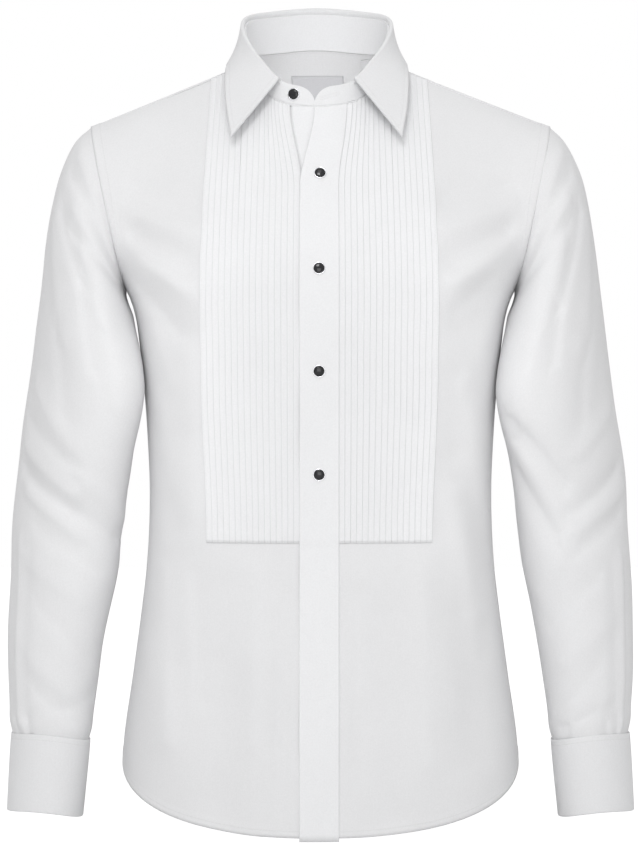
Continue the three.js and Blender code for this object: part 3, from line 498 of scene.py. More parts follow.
def plain_front_half(q, v, side):
    outer = np.clip(np.abs(q) - 1, 0, None)
    lower = front_lower(q, np.clip(v / LOWER, None, 1))
    t = np.clip((v - LOWER) / (1 - LOWER), 0, 1)
    arm_x = abs(armhole(SHOULDER_ANGLE, side)[0])
    top_x = np.where(outer > 0, lerp(BIB_HALF["shoulder"], arm_x, outer), np.abs(q) * BIB_HALF["shoulder"])
    over = smooth((np.abs(q) - 0.2) / 0.6)
    leave = vec(0, 6, 170)
    arrive = vec(0, lerp(70, 92, over), lerp(150, 70, over))
    top = np.sign(q) * top_x + FRONT_SHIFT * (1 - outer)
    followed = eased(lambda x: front_top(x, side), top, 12)
    upper = hermite(front_lower(q, np.ones_like(q)), leave, followed, arrive, t)
    upper = upper + (front_top(top, side) - followed) * (t**6)[..., None]
    edge_q = np.full_like(q, 2.0 * side)
    edge_top = front_top(np.full_like(q, side * arm_x), side)
    plain = hermite(front_lower(edge_q, np.ones_like(q)), leave, edge_top, arrive, t)
    seam = armhole(lerp(180, SHOULDER_ANGLE, t), side)
    upper = upper + (seam - plain) * (outer**2.2)[..., None]
    return np.where((v > LOWER)[..., None], upper, lower)


def front_half(q, v, side, folds):
    """One half of the front: q is 0 at the middle, side at the bib's edge and 2 * side at the side seam."""
    found = softened(lambda at: plain_front_half(q, at, side), v)
    found[..., 1] -= body_fold(folds, found) * (1 - smooth((np.abs(q) - 1.55) / 0.4))
    return found


def front(q, v, folds=FRONT_FOLDS):
    q, v = together(q, v)
    return np.where((q >= 0)[..., None], front_half(q, v, 1, folds), front_half(q, v, -1, folds))


def front_z(q, v):
    """Height of a point of the front."""
    q, v = together(q, v)
    return np.where(q >= 0, plain_front_half(q, v, 1)[..., 2], plain_front_half(q, v, -1)[..., 2])


def share_at(height_of, q, z):
    """Share v of a surface at which its column q reaches a height."""
    q, z = together(q, z)
    low, high = np.zeros_like(q), np.ones_like(q)
    for _ in range(22):
        middle = (low + high) / 2
        below = height_of(q, middle) < z
        low, high = np.where(below, middle, low), np.where(below, high, middle)
    return (low + high) / 2


def front_at_x(x, v, shift, folds=FRONT_FOLDS):
    """Point of the front at a distance x from the middle, moved aside where the top stands open."""
    x, v = together(x, v)
    z = front_z(x / BIB_HALF["chest"], v)
    half = np.where(v < LOWER, bib_edge(z), BIB_HALF["chest"])
    narrow = (half - PLACKET_HALF) / (BIB_HALF["chest"] - PLACKET_HALF)
    across = x - np.sign(x) * np.clip(np.abs(x) - PLACKET_HALF, 0, None) * (1 - narrow)
    opened = smooth((z - OPEN["from"]) / (OPEN["to"] - OPEN["from"]))
    near = 1 - smooth((np.abs(x) - PLACKET_HALF) / OPEN["fade"])
    return front((across + shift * opened * near) / half, v, folds)


def yoke_seam(x):
    y = YOKE["depth"] * (1 - (np.abs(x) / YOKE["reach"]) ** ROUNDNESS) ** (1 / ROUNDNESS)
    return vec(x, y, YOKE["z"])


def plain_back_half(q, v, side):
    t = np.clip((v - LOWER) / (1 - LOWER), 0, 1)
    lower = ring_point(lerp(hem_z(q, 1), ARMPIT_Z, np.clip(v / LOWER, 0, 1)), -q, 1)
    leave, arrive = vec(0, 4, 125), vec(0, -22, 125)
    start = ring_point(np.full_like(q, ARMPIT_Z), -q, 1)
    upper = hermite(start, leave, yoke_seam(-q * YOKE["half_width"]), arrive, t)
    corner = ring_point(np.float64(ARMPIT_Z), np.float64(side), 1)
    seam = armhole(lerp(-180, YOKE_ANGLE, t), side)
    plain = hermite(corner, leave, yoke_seam(np.float64(side * YOKE["half_width"])), arrive, t)
    upper = upper + (seam - plain) * (np.abs(q) ** 5)[..., None]
    return np.where((v > LOWER)[..., None], upper, lower)


def back_half(q, v, side):
    found = softened(lambda at: plain_back_half(q, at, side), v)
    found[..., 1] += body_fold(BACK_FOLDS, found) * (1 - smooth((np.abs(q) - 0.75) / 0.2))
    return found


def back(q, v):
    q, v = together(q, v)
    return np.where((q < 0)[..., None], back_half(q, v, 1), back_half(q, v, -1))


def yoke_top(q):
    """Upper edge of the yoke: the neck seam, and then the front shoulder seam, past its end too."""
    side = np.where(q < 0, 1, -1)
    b = np.minimum(np.abs(q), NECK_Q) / NECK_Q * SHOULDER_B
    outward = np.clip((np.abs(q) - NECK_Q) / (1 - NECK_Q), 0, None)
    shoulder = armhole(SHOULDER_ANGLE, 1)
    end = vec(side * shoulder[0], shoulder[1], shoulder[2])
    return lerp(neck_seam(side * b), end, outward[..., None])


def yoke_half(q, v, side):
    b = np.minimum(np.abs(q), NECK_Q) / NECK_Q * SHOULDER_B
    out = np.clip((np.abs(q) - NECK_Q) / (1 - NECK_Q), 0, 1)

    def column(b, across, outward):
        top = yoke_top(-side * across)
        followed = eased(yoke_top, -side * across, 0.05)
        beside = smooth(b / SHOULDER_B)
        rise = np.radians(lerp(58, -12, beside) - 4 * outward)
        reach = lerp(lerp(105, 150, beside), 62, outward)
        arrive = vec(0, -np.cos(rise) * reach, np.sin(rise) * reach)
        leave = vec(0, lerp(-18, -44, outward), lerp(lerp(112, 150, beside), 62, outward))
        found = hermite(yoke_seam(side * across * YOKE["half_width"]), leave, followed, arrive, v)
        return found + (top - followed) * (v**5)[..., None]

    found = column(b, np.abs(q), out)
    full = np.exp(-(((np.abs(found[..., 0]) - NECK_FULLNESS["x"]) / NECK_FULLNESS["width"]) ** 2))
    swell = full * np.sin(math.pi * v)
    found = found + vec(0, NECK_FULLNESS["back"] * swell, NECK_FULLNESS["up"] * swell)
    seam = armhole(lerp(YOKE_ANGLE, SHOULDER_ANGLE, v), side)
    ones = np.ones_like(q)
    return found + (seam - column(ones * SHOULDER_B, ones, ones)) * (out**4)[..., None]


def yoke(q, v):
    q, v = together(q, v)
    return np.where((q < 0)[..., None], yoke_half(q, v, 1), yoke_half(q, v, -1))


def yoke_at_z(b, z):
    q = -b / SHOULDER_B * NECK_Q
    return yoke(q, share_at(lambda column, v: yoke(column, v)[..., 2], q, z))


def unit(ways):
    return ways / np.linalg.norm(ways, axis=-1, keepdims=True)


def tube_axis(table, s, angle, side):
    return (tube_point(table, s, 0 * angle, side) + tube_point(table, s, 0 * angle + 180, side)) / 2


def sleeve(s, angle, side):
    s, angle = together(s, angle)
    found = tube_point(SLEEVE, s, angle, side)
    outward = unit(found - tube_axis(SLEEVE, s, angle, side))
    height = np.zeros(s.shape)
    for s0, a0, s1, a1, width, depth in SLEEVE_FOLDS["left" if side > 0 else "right"]:
        line = tube_point(SLEEVE, np.linspace(s0, s1, 6), np.linspace(a0, a1, 6), side)
        height += bent_fold_height(found, line, outward, width, depth, side)
    height = height + ripple(found, 34, 0.7, seed=side)
    for ring, rings, turn, turns, full in UNDERARM:
        height = height + full * np.exp(-(((s - ring) / rings) ** 2) - ((angle - turn) / turns) ** 2)
    height = height + BLOUSE["height"] * np.exp(-(((s - BLOUSE["s"]) / BLOUSE["width"]) ** 2))
    held = smooth(s / 0.7) * smooth((SLEEVE_END + 0.3 - s) * 2.5)
    return found + outward * (height * held)[..., None]


def cuff_point(angle, share, out, side):
    angle, share, out = together(angle, share, out)
    held = np.clip(share, 0, 1)
    found = tube_point(CUFF, held, angle, side)
    found[..., 2] += CUFF_LEVEL * np.clip(np.sin(np.radians(angle)), 0, 1) ** 2
    outward = unit(found - tube_axis(CUFF, held, angle, side))
    ends = [tube_axis(CUFF, np.full_like(held, s), angle, side) for s in (0, 1)]
    down = ends[1] - ends[0]
    return found + outward * out[..., None] + down * (share - held)[..., None]


def stand_height(b):
    end = np.where(b > 0, STAND_END["left"], STAND_END["right"])
    length = NECK["half_width"] * np.radians(end - np.abs(b)) / STAND_END["round"]
    rounded = np.sqrt(np.clip(1 - (1 - np.clip(length, 0, 1)) ** 2, 0.02, 1))
    return rows_at(STAND, "b", np.abs(b))["height"] * np.where(length < 1, rounded, 1)


def stand_point(b, share):
    b, share = together(b, share)
    row = rows_at(STAND, "b", np.abs(b))
    rise = unit(vec(-np.sign(b) * row["inward"], row["lean"], row["height"]))
    apart = STAND_END["apart"] * smooth((np.abs(b) - FALL_END) / 28)
    base = neck_seam(b)
    base[..., 1] -= np.where(b > 0, apart, -0.6 * apart)
    return base + rise * lerp(STAND_LIFT, stand_height(b), share)[..., None]


def off_the_front(p):
    """Keeps points of the collar's fall clear of the bib."""
    x = p[..., 0]
    side_x = np.where(x < 0, np.abs(neck_seam(-SHOULDER_B)[0]), np.abs(neck_seam(SHOULDER_B)[0]))
    q = x / BIB_HALF["shoulder"]
    b = 180 - np.degrees(np.arcsin(np.clip((x - COLLAR_SHIFT) / NECK["half_width"], -1, 1)))
    edge = np.where(np.abs(x) < side_x, neck_seam(b)[..., 2], 9)
    here = (p[..., 2] <= edge) & (np.abs(q) <= 1)
    q = np.clip(q, -1, 1)
    surface = front(q, share_at(front_z, q, p[..., 2]))
    y = np.minimum(p[..., 1], surface[..., 1] - FALL_CLEAR)
    return vec(x, np.where(here, y, p[..., 1]), p[..., 2])


def fall_grid(bs, falling):
    """The collar's fall: up from the stand, over the roll and down to its edge."""
    start = stand_point(bs, np.ones_like(bs))
    up = unit(start - stand_point(bs, 0.5 * np.ones_like(bs)))
    out = vec(np.sin(np.radians(bs)), np.cos(np.radians(bs)), 0)
    roll = lerp(ROLL["back"], ROLL["front"], smooth(np.abs(bs) / FALL_END))[:, None]
    start = start + out * ROLL["behind"]
    lines = [start - up * 3]
    for angle in (0, 30, 60, 90, 120, 150, 180):
        lift = 0.6 + 0.4 * math.sin(math.radians(angle))
        outward = (1 - math.cos(math.radians(angle))) / 2 * ROLL["out"]
        lines.append(start + up * roll * lift + out * outward)
    edge = rows_at(FALL_EDGE, "b", np.abs(bs))
    side = np.where(bs < 0, -1, 1)
    end = vec(side * edge["x"] + COLLAR_SHIFT, edge["y"], edge["z"])
    last = lines[-1]
    straight = end - last
    length = np.linalg.norm(straight, axis=-1, keepdims=True)
    over = smooth((np.abs(bs) - 105) / (FALL_END - 105))[:, None]
    leave = lerp(vec(0, 0, -0.9) * length + out * length * 0.12, straight, over)
    arrive = straight + out * length * 0.15 * (1 - (np.abs(bs)[:, None] / FALL_END) ** 4)
    for t in falling:
        lines.append(off_the_front(hermite(last, leave, end, arrive, np.full(len(bs), t))))
    return np.stack(lines)


def grid_normals(grid, closed):
    if closed:
        across = np.roll(grid, -1, axis=1) - np.roll(grid, 1, axis=1)
    else:
        across = np.gradient(grid, axis=1)
    up = np.gradient(grid, axis=0)
    n = np.cross(across, up)
    return n / np.maximum(np.linalg.norm(n, axis=-1, keepdims=True), 1e-9)


def shell(name, grid, inner=-SHEET / 2, outer=SHEET / 2, closed=False, fields=None, flip=False):
    """A thin closed shell of cloth from a grid, with smooth faces, crisp rims and its fields as attributes.
    A field is a grid of lengths that the cloth's material reads, such as the way in from an edge."""
    rows, columns = grid.shape[:2]
    inner, outer = (np.broadcast_to(face, (rows, columns)) for face in (inner, outer))
    fields = fields or {}
    if flip:
        grid, inner, outer = grid[:, ::-1], inner[:, ::-1], outer[:, ::-1]
        fields = {field: ways[:, ::-1] for field, ways in fields.items()}
    normals = grid_normals(grid, closed)
    faces_at = [(grid + normals * face[..., None]).reshape(-1, 3) for face in (outer, inner)]
    points = np.concatenate(faces_at) * MM
    index = np.arange(rows * columns).reshape(rows, columns)
    if closed:
        index = np.concatenate([index, index[:, :1]], axis=1)
    a, b, c, d = index[:-1, :-1], index[:-1, 1:], index[1:, 1:], index[1:, :-1]
    lift = rows * columns
    faces = [
        np.stack([a, b, c, d], -1).reshape(-1, 4),
        np.stack([a, d, c, b], -1).reshape(-1, 4) + lift,
    ]

    def rim(line, forward):
        p, q = (line[:-1], line[1:]) if forward else (line[1:], line[:-1])
        faces.append(np.stack([p, p + lift, q + lift, q], -1))

    rim(index[0], True)
    rim(index[-1], False)
    if not closed:
        rim(index[:, 0], False)
        rim(index[:, -1], True)
    smooth_faces = sum(len(part) for part in faces[:2])
    faces = np.concatenate(faces)
    mesh = bpy.data.meshes.new(name)
    mesh.vertices.add(len(points))
    mesh.vertices.foreach_set("co", points.astype(np.float32).ravel())
    mesh.loops.add(faces.size)
    mesh.loops.foreach_set("vertex_index", faces.astype(np.int32).ravel())
    mesh.polygons.add(len(faces))
    mesh.polygons.foreach_set("loop_start", np.arange(0, faces.size, 4, dtype=np.int32))
    mesh.polygons.foreach_set("use_smooth", np.arange(len(faces)) < smooth_faces)
    mesh.update(calc_edges=True)
    mesh.validate()
    for field, values in fields.items():
        layer = mesh.attributes.new(field, "FLOAT", "POINT")
        both = np.concatenate([values.ravel(), values.ravel()]) * MM
        layer.data.foreach_set("value", both.astype(np.float32))
    piece = bpy.data.objects.new(name, mesh)
    bpy.context.scene.collection.objects.link(piece)
    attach(piece, "root")
    return piece


def strip(ways, width, rise):
    """Rise of a folded and stitched strip along an edge, given the ways in from that edge."""
    return rise * (1 - smooth((ways - width) / 1.3))


def run_along(grid, axis):
    """Length along the grid's rows (0) or columns (1), in millimetres from the first."""
    step = np.linalg.norm(np.diff(grid, axis=axis), axis=-1)
    pad = [(0, 0), (0, 0)]
    pad[axis] = (1, 0)
    return np.cumsum(np.pad(step, pad), axis=axis)


def edges_of(grid, names):
    """Ways in from the named edges of a grid: left, right, bottom and top."""
    across, up = run_along(grid, 1), run_along(grid, 0)
    ways = {"left": across, "right": across[:, -1:] - across, "bottom": up, "top": up[-1:] - up}
    return {f"from_{name}": ways[name] for name in names}


def steps(count):
    return np.linspace(0, 1, count + 1)


def dress(piece, node, material):
    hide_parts(node)
    piece.data.materials.append(material)


def sew(node, grid, slot, material, size, area=None, rests_on=(), **faces):
    """The piece of cloth for a node. What it is cut from, its flat size in mm and area in square metres, is
    not used.
    """
    piece = shell(f"{node}_cloth", grid, **faces)
    dress(piece, node, material)


# Materials
def node_of(tree, kind, **values):
    node = tree.nodes.new(kind)
    for key, value in values.items():
        if isinstance(value, bpy.types.NodeSocket):
            tree.links.new(value, node.inputs[key])
        elif key in node.inputs:
            node.inputs[key].default_value = value
        else:
            setattr(node, key, value)
    return node


def math_node(tree, operation, a, b=None, c=None):
    node = tree.nodes.new("ShaderNodeMath")
    node.operation = operation
    for i, value in enumerate((a, b, c)):
        if isinstance(value, bpy.types.NodeSocket):
            tree.links.new(value, node.inputs[i])
        elif value is not None:
            node.inputs[i].default_value = value
    return node.outputs[0]


THREAD = 0.00045
STITCH = 0.0026


def line_of(tree, field, way, half):
    """1 on the line at that way in from the field's edge, falling to 0 at half its width."""
    attribute = tree.nodes.new("ShaderNodeAttribute")
    attribute.attribute_name = field
    gap = math_node(tree, "ABSOLUTE", math_node(tree, "SUBTRACT", attribute.outputs["Fac"], way * MM))
    line = math_node(tree, "SUBTRACT", 1.0, math_node(tree, "DIVIDE", gap, half * MM))
    return math_node(tree, "MAXIMUM", line, 0.0)


def cloth(name, colour, roughness, stitches=(), weave=1.0, sheen=0.08, folds=None):
    """Plain woven cotton. Each row of stitches is a stitched line: the field with the way in from its edge,
    the distance in mm and the way in which its stitches are counted. folds names the field of the tucks'
    folded edges, along which a thin line of painted shade darkens the colour, standing in for their shadow."""
    material = bpy.data.materials.new(name)
    material.use_nodes = True
    tree = material.node_tree
    shader = tree.nodes["Principled BSDF"]
    shader.inputs["Roughness"].default_value = roughness
    shader.inputs["Sheen Weight"].default_value = sheen
    shader.inputs["Sheen Roughness"].default_value = 0.5
    shader.inputs["Specular IOR Level"].default_value = 0.25
    place = node_of(tree, "ShaderNodeTexCoord").outputs["Object"]
    x, y, z = node_of(tree, "ShaderNodeSeparateXYZ", Vector=place).outputs

    # Warp and weft, as two crossing sets of threads
    around = math_node(tree, "ADD", x, math_node(tree, "MULTIPLY", y, 0.83))
    warp = math_node(tree, "SINE", math_node(tree, "MULTIPLY", around, 2 * math.pi / THREAD))
    weft = math_node(tree, "SINE", math_node(tree, "MULTIPLY", z, 2 * math.pi / THREAD))
    threads = math_node(tree, "MULTIPLY", warp, weft)

    # Slubs and slow unevenness of the weave
    stretched = node_of(tree, "ShaderNodeMapping", Vector=place, Scale=(900, 900, 60)).outputs[0]
    slubs = node_of(tree, "ShaderNodeTexNoise", Vector=stretched, Scale=1.0, Detail=2.0)
    patch = node_of(tree, "ShaderNodeTexNoise", Vector=place, Scale=22.0, Detail=3.0, Roughness=0.6)
    grain = node_of(tree, "ShaderNodeTexNoise", Vector=place, Scale=700.0, Detail=2.0)
    height = math_node(tree, "MULTIPLY", threads, 0.05 * weave)
    shade = 0.915
    layers = ((slubs, 0.22 * weave, 0.03), (grain, 0.12 * weave, 0.1), (patch, 0.5, 0.035))
    for unevenness, relief, tone in layers:
        height = math_node(tree, "MULTIPLY_ADD", unevenness.outputs[0], relief, height)
        shade = math_node(tree, "MULTIPLY_ADD", unevenness.outputs[0], tone, shade)
    if folds:
        # Painted shade: a thin darker line along each tuck's folded edge, standing in for the shadow under
        # it
        painted_fold_shade = math_node(tree, "MULTIPLY", line_of(tree, folds, 0, 0.8), 0.08)
        shade = math_node(tree, "SUBTRACT", shade, painted_fold_shade)
    for field, way, along in stitches:
        line = line_of(tree, field, way, 0.7)
        run = {"x": x, "y": y, "z": z, "around": around}[along]
        beat = math_node(tree, "SINE", math_node(tree, "MULTIPLY", run, 2 * math.pi / STITCH))
        beat = math_node(tree, "MULTIPLY_ADD", beat, 0.5, 0.5)
        pull = math_node(tree, "MULTIPLY", line, math_node(tree, "MULTIPLY_ADD", beat, -0.6, 1.0))
        height = math_node(tree, "SUBTRACT", height, math_node(tree, "MULTIPLY", pull, 1.2))
        shade = math_node(tree, "SUBTRACT", shade, math_node(tree, "MULTIPLY", pull, 0.06))
    tint = node_of(tree, "ShaderNodeMix", data_type="RGBA", blend_type="MULTIPLY")
    tint.inputs[0].default_value = 1.0
    tint.inputs[6].default_value = (*colour, 1)
    grey = tree.nodes.new("ShaderNodeCombineColor")
    for i in range(3):
        tree.links.new(shade, grey.inputs[i])
    tree.links.new(grey.outputs[0], tint.inputs[7])
    tree.links.new(tint.outputs[2], shader.inputs["Base Color"])
    bump = node_of(tree, "ShaderNodeBump", Height=height, Strength=0.35, Distance=0.0004)
    tree.links.new(bump.outputs[0], shader.inputs["Normal"])
    return material


def hard(name, colour, roughness, metallic, wear):
    """Metal or glossy stone, a little uneven in roughness and tone by handling."""
    material = bpy.data.materials.new(name)
    material.use_nodes = True
    tree = material.node_tree
    shader = tree.nodes["Principled BSDF"]
    shader.inputs["Metallic"].default_value = metallic
    place = node_of(tree, "ShaderNodeTexCoord").outputs["Object"]
    fine = node_of(tree, "ShaderNodeTexNoise", Vector=place, Scale=420.0, Detail=3.0)
    ramp = math_node(tree, "MULTIPLY_ADD", fine.outputs[0], wear, roughness - wear / 2)
    tree.links.new(ramp, shader.inputs["Roughness"])
    tone = node_of(tree, "ShaderNodeMix", data_type="RGBA")
    tone.inputs[6].default_value = (*colour, 1)
    tone.inputs[7].default_value = (*[min(1, c * 1.12 + 0.004) for c in colour], 1)
    tree.links.new(fine.outputs[0], tone.inputs[0])
    tree.links.new(tone.outputs[2], shader.inputs["Base Color"])
    return material


# Plain white cotton, the fused cloth of collar and cuffs, and the brighter layers of the front
WHITE = (0.75, 0.75, 0.758)
TRIM = (0.752, 0.753, 0.762)
BRIGHT = (0.80, 0.802, 0.812)
ARM_SEAM = ("from_seam", 9.2, "z")
body_cloth = cloth("body_cotton", WHITE, 0.85, [("from_bottom", 6.2, "around"), ARM_SEAM])
sleeve_cloth = cloth("sleeve_cotton", WHITE, 0.85)
bib_lines = [("from_outer", 1.6, "z"), ("from_bottom", 1.6, "x")]
# The bib's colour carries painted shade along its tucks' folded edges
bib_cloth = cloth("bib_cotton", BRIGHT, 0.8, bib_lines, folds="from_fold")
band_cloth = cloth("placket_cotton", BRIGHT, 0.75)
stand_cloth = cloth("stand_cotton", BRIGHT, 0.75, [("from_hole", 0.0, "x"), ("from_hole", 1.5, "x")])
yoke_lines = [("from_bottom", 1.8, "x"), ("from_top", 1.8, "around"), ARM_SEAM]
yoke_cloth = cloth("yoke_cotton", WHITE, 0.82, yoke_lines)
collar_cloth = cloth("collar_cotton", TRIM, 0.72, [("from_edge", 5.5, "around")])
cuff_cloth = cloth("cuff_cotton", TRIM, 0.75, [("from_open_edge", 5.5, "around")])
label_cloth = cloth("label_satin", (0.6, 0.6, 0.62), 0.4, [("from_top", 1.2, "x")], weave=0.4)
tab_cloth = cloth("tab_satin", (0.74, 0.74, 0.75), 0.4, weave=0.4)
rim_metal = hard("polished_silver", (0.86, 0.86, 0.88), 0.16, 1.0, 0.1)
face_stone = hard("black_stone", (0.006, 0.006, 0.008), 0.08, 0.0, 0.05)

# Body: the fronts, whose layers share their slow unevenness, and the back
all_front_folds = FRONT_FOLDS + FINE_FRONT_FOLDS
body_v = np.concatenate([steps(150) * LOWER, lerp(LOWER, 1, steps(84))[1:]])


def front_grid(x, v, side, shift):
    grid = front_at_x(x, v, shift, all_front_folds)
    grid[..., 1] -= ripple(grid, 46, 0.5, seed=side + 2)
    return grid


def panel(node, grid, ways, size, area, flip=False):
    """A panel of the body, with its felled seam and its hem."""
    rise = strip(ways["from_seam"], **SEAM_STRIP) + strip(ways["from_bottom"], **HEM_STRIP)
    outer = SHEET / 2 + rise
    sew(node, grid, "cloth", body_cloth, size, area, ["yoke"], outer=outer, fields=ways, flip=flip)


for name, side in SIDES:
    xs = side * lerp(PLACKET_HALF - UNDER_PLACKET, BIB_HALF["chest"], steps(36))
    qs = side * (1 + steps(48)[1:])
    inner = front_at_x(xs[None, :], body_v[:, None], OPEN[name], all_front_folds)
    outer = front(qs[None, :], body_v[:, None], all_front_folds)
    grid = np.concatenate([inner, outer], axis=1)
    grid[..., 1] -= ripple(grid, 46, 0.5, seed=side + 2)
    ways = edges_of(grid, ["bottom", "right"])
    ways["from_seam"] = ways.pop("from_right")
    panel(f"front_{name}", grid, ways, (290, 770), 0.172, flip=side < 0)

back_q = np.linspace(-1, 1, 141)
grid = back(back_q[None, :], body_v[:, None])
grid[..., 1] += ripple(grid, 50, 0.6, seed=5)
ways = edges_of(grid, ["bottom", "left", "right"])
ways["from_seam"] = np.minimum(ways.pop("from_left"), ways.pop("from_right"))
panel("back", grid, ways, (570, 720), 0.355)

# The yoke's upper edge lies a little over the fronts
yoke_q = np.concatenate([-steps(80)[::-1][:-1], steps(80)])
grid = yoke(yoke_q[None, :], steps(60)[:, None])
over = grid[-1] + unit(grid[-1] - grid[-2]) * 2
over = np.where((np.abs(yoke_q) > NECK_Q)[:, None], over, grid[-1] + (over - grid[-1]) * 0.02)
grid = np.concatenate([grid, over[None]])
ways = edges_of(grid, ["bottom", "top", "left", "right"])
ways["from_seam"] = np.minimum(ways.pop("from_left"), ways.pop("from_right"))
rise = strip(ways["from_seam"], **SEAM_STRIP) + SEAM_STRIP["rise"]
sew("yoke", grid, "fused_cloth", yoke_cloth, (500, 200), 0.062, outer=SHEET / 2 + rise, fields=ways)

# Tucked bib: each tuck rises to its folded edge, away from the placket, and drops to the next
TUCK_PROFILE = {
    "at": [0.0, 0.2, 0.4, 0.6, 0.8, 0.9, 0.95, 0.975],
    "rise": [0.0, 0.22, 0.42, 0.62, 0.84, 1.0, 0.86, 0.0],
}
FOLD_AT = 0.96
bib_width = BIB_HALF["chest"] - PLACKET_HALF
bib_t = np.append((np.arange(TUCKS)[:, None] + TUCK_PROFILE["at"]).ravel() / TUCKS, 1.0)
from_fold = np.abs((bib_t * TUCKS + 0.5 - FOLD_AT) % 1 - 0.5) * bib_width / TUCKS
bib_x = np.append(PLACKET_HALF - UNDER_PLACKET, PLACKET_HALF + bib_width * bib_t)
rises = np.concatenate([[0.0], np.tile(TUCK_PROFILE["rise"], TUCKS), [0.0]]) * TUCK_RISE
for name, side in SIDES:
    xs = side * bib_x
    bottom_v = share_at(front_z, xs / BIB_HALF["chest"], BIB_BOTTOM_Z)
    vs = lerp(bottom_v[None, :], 0.996, steps(150)[:, None])
    grid = front_grid(np.broadcast_to(xs, vs.shape), vs, side, OPEN[name])
    ways = edges_of(grid, ["bottom", "right"])
    ways["from_outer"] = ways.pop("from_right")
    # Way to each tuck's folded edge, along which the bib's material paints shade
    ways["from_fold"] = np.broadcast_to(np.concatenate([[2.0], from_fold]), vs.shape)
    pressed = 0.25 + 0.75 * smooth(ways["from_bottom"] / 5)
    faces = {"inner": BIB_FACES[0], "outer": BIB_FACES[1] + rises * pressed, "flip": side < 0}
    below = [f"front_{name}"]
    sew(f"bib_{name}", grid, "cloth", bib_cloth, (110, 500), 0.0445, below, fields=ways, **faces)

# The placket's free edge, to the wearer's right, stands a little further out than its sewn one
xs = np.linspace(-PLACKET_HALF, PLACKET_HALF, 37)[None, :]
share = (xs + PLACKET_HALF) / (2 * PLACKET_HALF)
vs = np.concatenate([[-0.004], body_v[1:-1], [0.996]])[:, None]
grid = front_grid(xs, vs, 1, lerp(OPEN["placket_edge"], OPEN["left"], share))
lift = 0.3 * np.exp(-share * 7) * (1.6 + np.sin(grid[..., 2] / 31) + 0.6 * np.sin(grid[..., 2] / 13))
lift = lift + BIB_LIFT * smooth((grid[..., 2] - BIB_BOTTOM_Z + 4) / 5)
inner, outer = (lerp(PLACKET_FACES["right"][i], PLACKET_FACES["left"][i], share) + lift for i in (0, 1))
ways = edges_of(grid, ["left", "right", "bottom"])
faces = {"inner": inner, "outer": outer, "fields": ways}
sew("placket", grid, "fused_cloth", band_cloth, (39, 720), 0.0275, ["front_left"], **faces)

# The band under it comes forward where the top stands open
grid = front_grid(xs * 0.995, body_v[:, None], -1, OPEN["right"])
opened = smooth((grid[..., 2] - OPEN["from"]) / 30)
lift = 1.4 * smooth((15.6 - np.abs(xs)) / 1.2) * opened
ways = edges_of(grid, ["left", "right"])
faces = {"inner": BAND_FACES[0] + lift, "outer": BAND_FACES[1] + lift, "fields": ways}
sew("under_placket", grid, "fused_cloth", band_cloth, (39, 720), 0.0275, ["front_right"], **faces)


# Sleeves: a sleeve's first ring is tucked into the armhole, and its last ones into the cuff
def sleeve_piece(name, side):
    angles = np.arange(0, 360, 2.8125)
    rings = np.concatenate([steps(12)[:-1], lerp(1, SLEEVE_END, steps(190))])
    grid = sleeve(rings[:, None], angles[None, :], side)
    tucked = lerp(grid[0], grid[0].mean(axis=0), 0.02) - vec(side * 3, 0, 0)
    down = unit(cuff_point(0, 1, 0, side) - cuff_point(0, 0, 0, side))
    inward = unit(grid[-1].mean(axis=0) - grid[-1])
    ends = [grid[-1] + down * along + inward * tuck for along, tuck in SLEEVE_TUCK]
    grid = np.concatenate([tucked[None], grid, np.stack(ends)])
    faces = {"closed": True, "flip": side < 0}
    sew(f"sleeve_{name}", grid, "cloth", sleeve_cloth, (390, 620), 0.205, [f"front_{name}"], **faces)


def sleeve_placket_piece(name, side):
    angles = GAUNTLET["angle"] + np.linspace(-GAUNTLET["spread"], GAUNTLET["spread"], 17)
    rings = np.linspace(GAUNTLET["from_s"], GAUNTLET["to_s"], 49)
    grid = sleeve(rings[:, None], angles[None, :], side)
    faces = {**GAUNTLET_FACES, "fields": edges_of(grid, ["left", "right"]), "flip": side < 0}
    below = [f"sleeve_{name}"]
    sew(f"sleeve_placket_{name}", grid, "cloth", band_cloth, (26, 125), 0.0026, below, **faces)


def cuff_piece(name, side):
    """Down inside to the cuff's folded edge, where share is 1, around it and back up outside."""
    profile = [(t, 0.0) for t in np.linspace(0, 1, 24)]
    profile += [(1.006, 0.1), (1.012, 0.3), (1.014, 0.6), (1.012, 0.9), (1.006, 1.1)]
    profile += [(t, CUFF_APART - 0.6 * (1 - t) ** 6) for t in np.linspace(1, -0.012, 40)]
    share, layer = np.array(profile).T[:, :, None]
    turned_by = CUFF_TURN["round"] * steps(190)[None, :]
    out = layer + CUFF_SPIRAL / 360 * turned_by
    grid = cuff_point(CUFF_TURN["from"] + turned_by, share, out, side)
    ways = edges_of(grid, ["top"])
    ways["from_open_edge"] = ways.pop("from_top")
    faces = {**CUFF_FACES, "fields": ways, "flip": side < 0}
    sew(f"cuff_{name}", grid, "fused_cloth", cuff_cloth, (275, 155), None, [f"sleeve_{name}"], **faces)


for name, side in SIDES:
    sleeve_piece(name, side)
    sleeve_placket_piece(name, side)
    cuff_piece(name, side)

